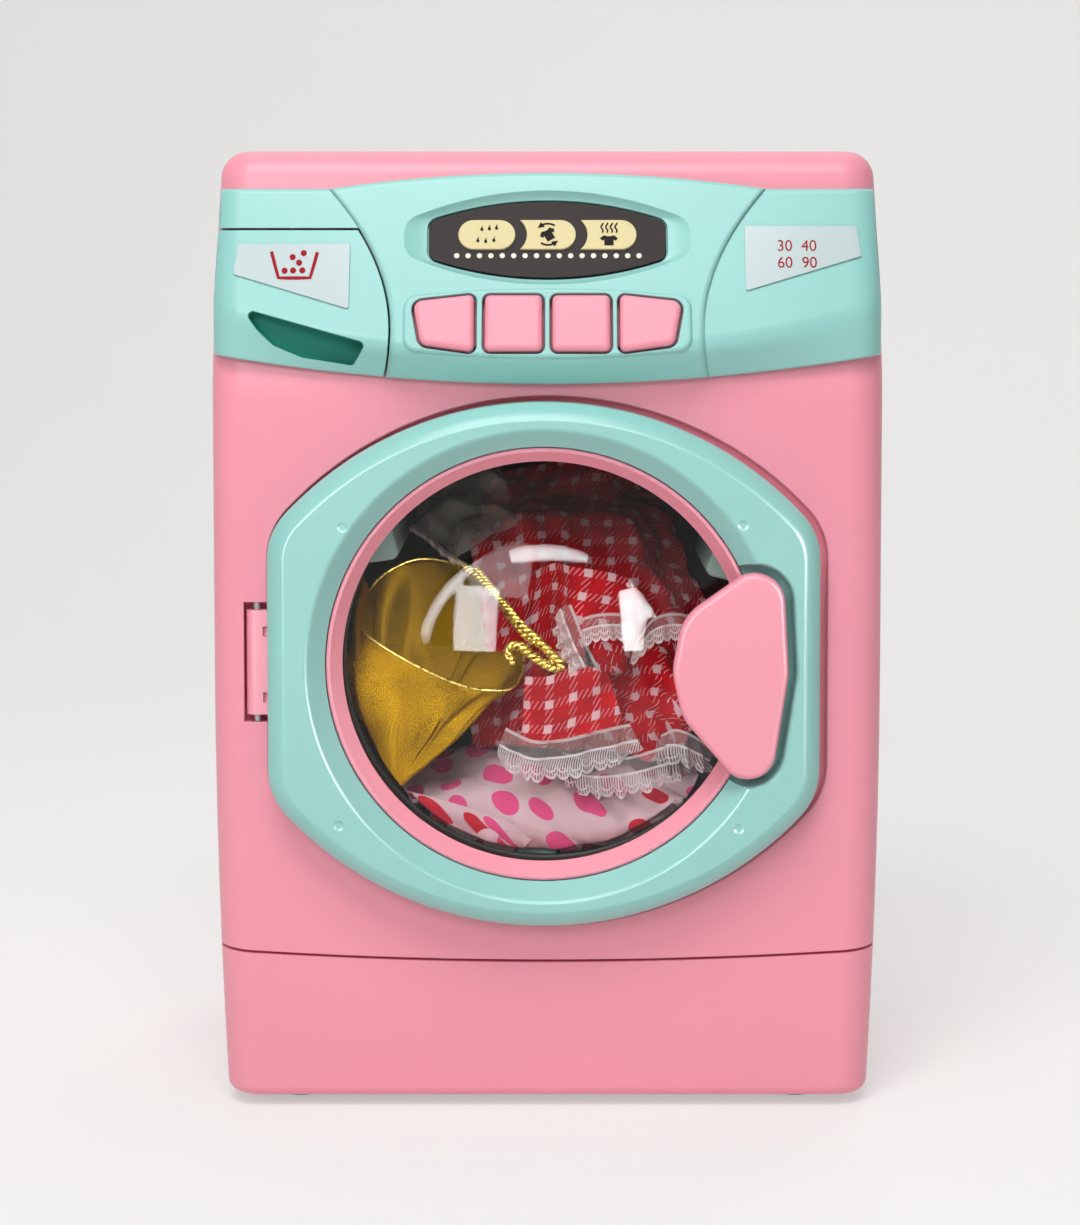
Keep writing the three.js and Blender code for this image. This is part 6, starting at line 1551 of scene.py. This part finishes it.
def lamp(name, azimuth, elevation, distance, width, height, power):
    """A soft lamp that faces the object; angles are degrees, sizes metres and power watts."""
    data = bpy.data.lights.new(name, "AREA")
    data.shape = "RECTANGLE"
    data.size = width
    data.size_y = height
    data.energy = power
    obj = bpy.data.objects.new(name, data)
    a, e = math.radians(azimuth), math.radians(elevation)
    away = Vector((math.sin(a) * math.cos(e), -math.cos(a) * math.cos(e), math.sin(e)))
    obj.location = AIM + away * distance
    obj.rotation_euler = away.to_track_quat("Z", "Y").to_euler()
    bpy.context.collection.objects.link(obj)
    return obj


backdrop()
lamp("soft_top", -10, 57, 1.5, 0.9, 0.6, 13)
lamp("soft_front", -18, 26, 1.5, 0.6, 0.5, 6)
lamp("soft_over", 180, 70, 1.5, 1.2, 0.8, 3)
behind = lamp("soft_back", 165, 32, 1.8, 1.2, 0.9, 7)
behind.visible_camera = False
behind.visible_glossy = False

# Cards that show only as highlights, on the glossy pieces alone
CARDS = (("card_left", -26, 8, 1.4, 0.4, 0.58, 17), ("card_right", 41, 7, 1.4, 0.56, 0.54, 38),
         ("card_top", 2, 33, 1.4, 0.7, 0.12, 7.5))
glossy = bpy.data.collections.new("lit_by_cards")
GLOSSY = ["door_pane", "door_rim", "door_pull", "door_bezel", "display_glass", "laundry_bag", "bag_rim_cord"]
GLOSSY += [f"gold_rope_{rope}_{strand}" for rope in ("long", "short") for strand in (1, 2)]
for name in GLOSSY:
    glossy.objects.link(bpy.data.objects[name])
for values in CARDS:
    card = lamp(*values)
    card.visible_diffuse = False
    card.light_linking.receiver_collection = glossy
world = bpy.data.worlds.new("studio")
world.use_nodes = True
world.node_tree.nodes["Background"].inputs["Color"].default_value = (1, 0.99, 0.98, 1)
world.node_tree.nodes["Background"].inputs["Strength"].default_value = 0.22
bpy.context.scene.world = world
bpy.context.scene.view_settings.view_transform = "Standard"

lens = bpy.data.cameras.new("camera")
lens.lens = 78.7
lens.sensor_width = 36
lens.shift_x = -0.0061
lens.shift_y = -0.137
eye = bpy.data.objects.new("camera", lens)
eye.location = (0, FRONT - EYE_AWAY * MM, EYE_HEIGHT * MM)
eye.rotation_euler = (math.radians(86.5), 0, 0)
bpy.context.collection.objects.link(eye)
bpy.context.scene.camera = eye
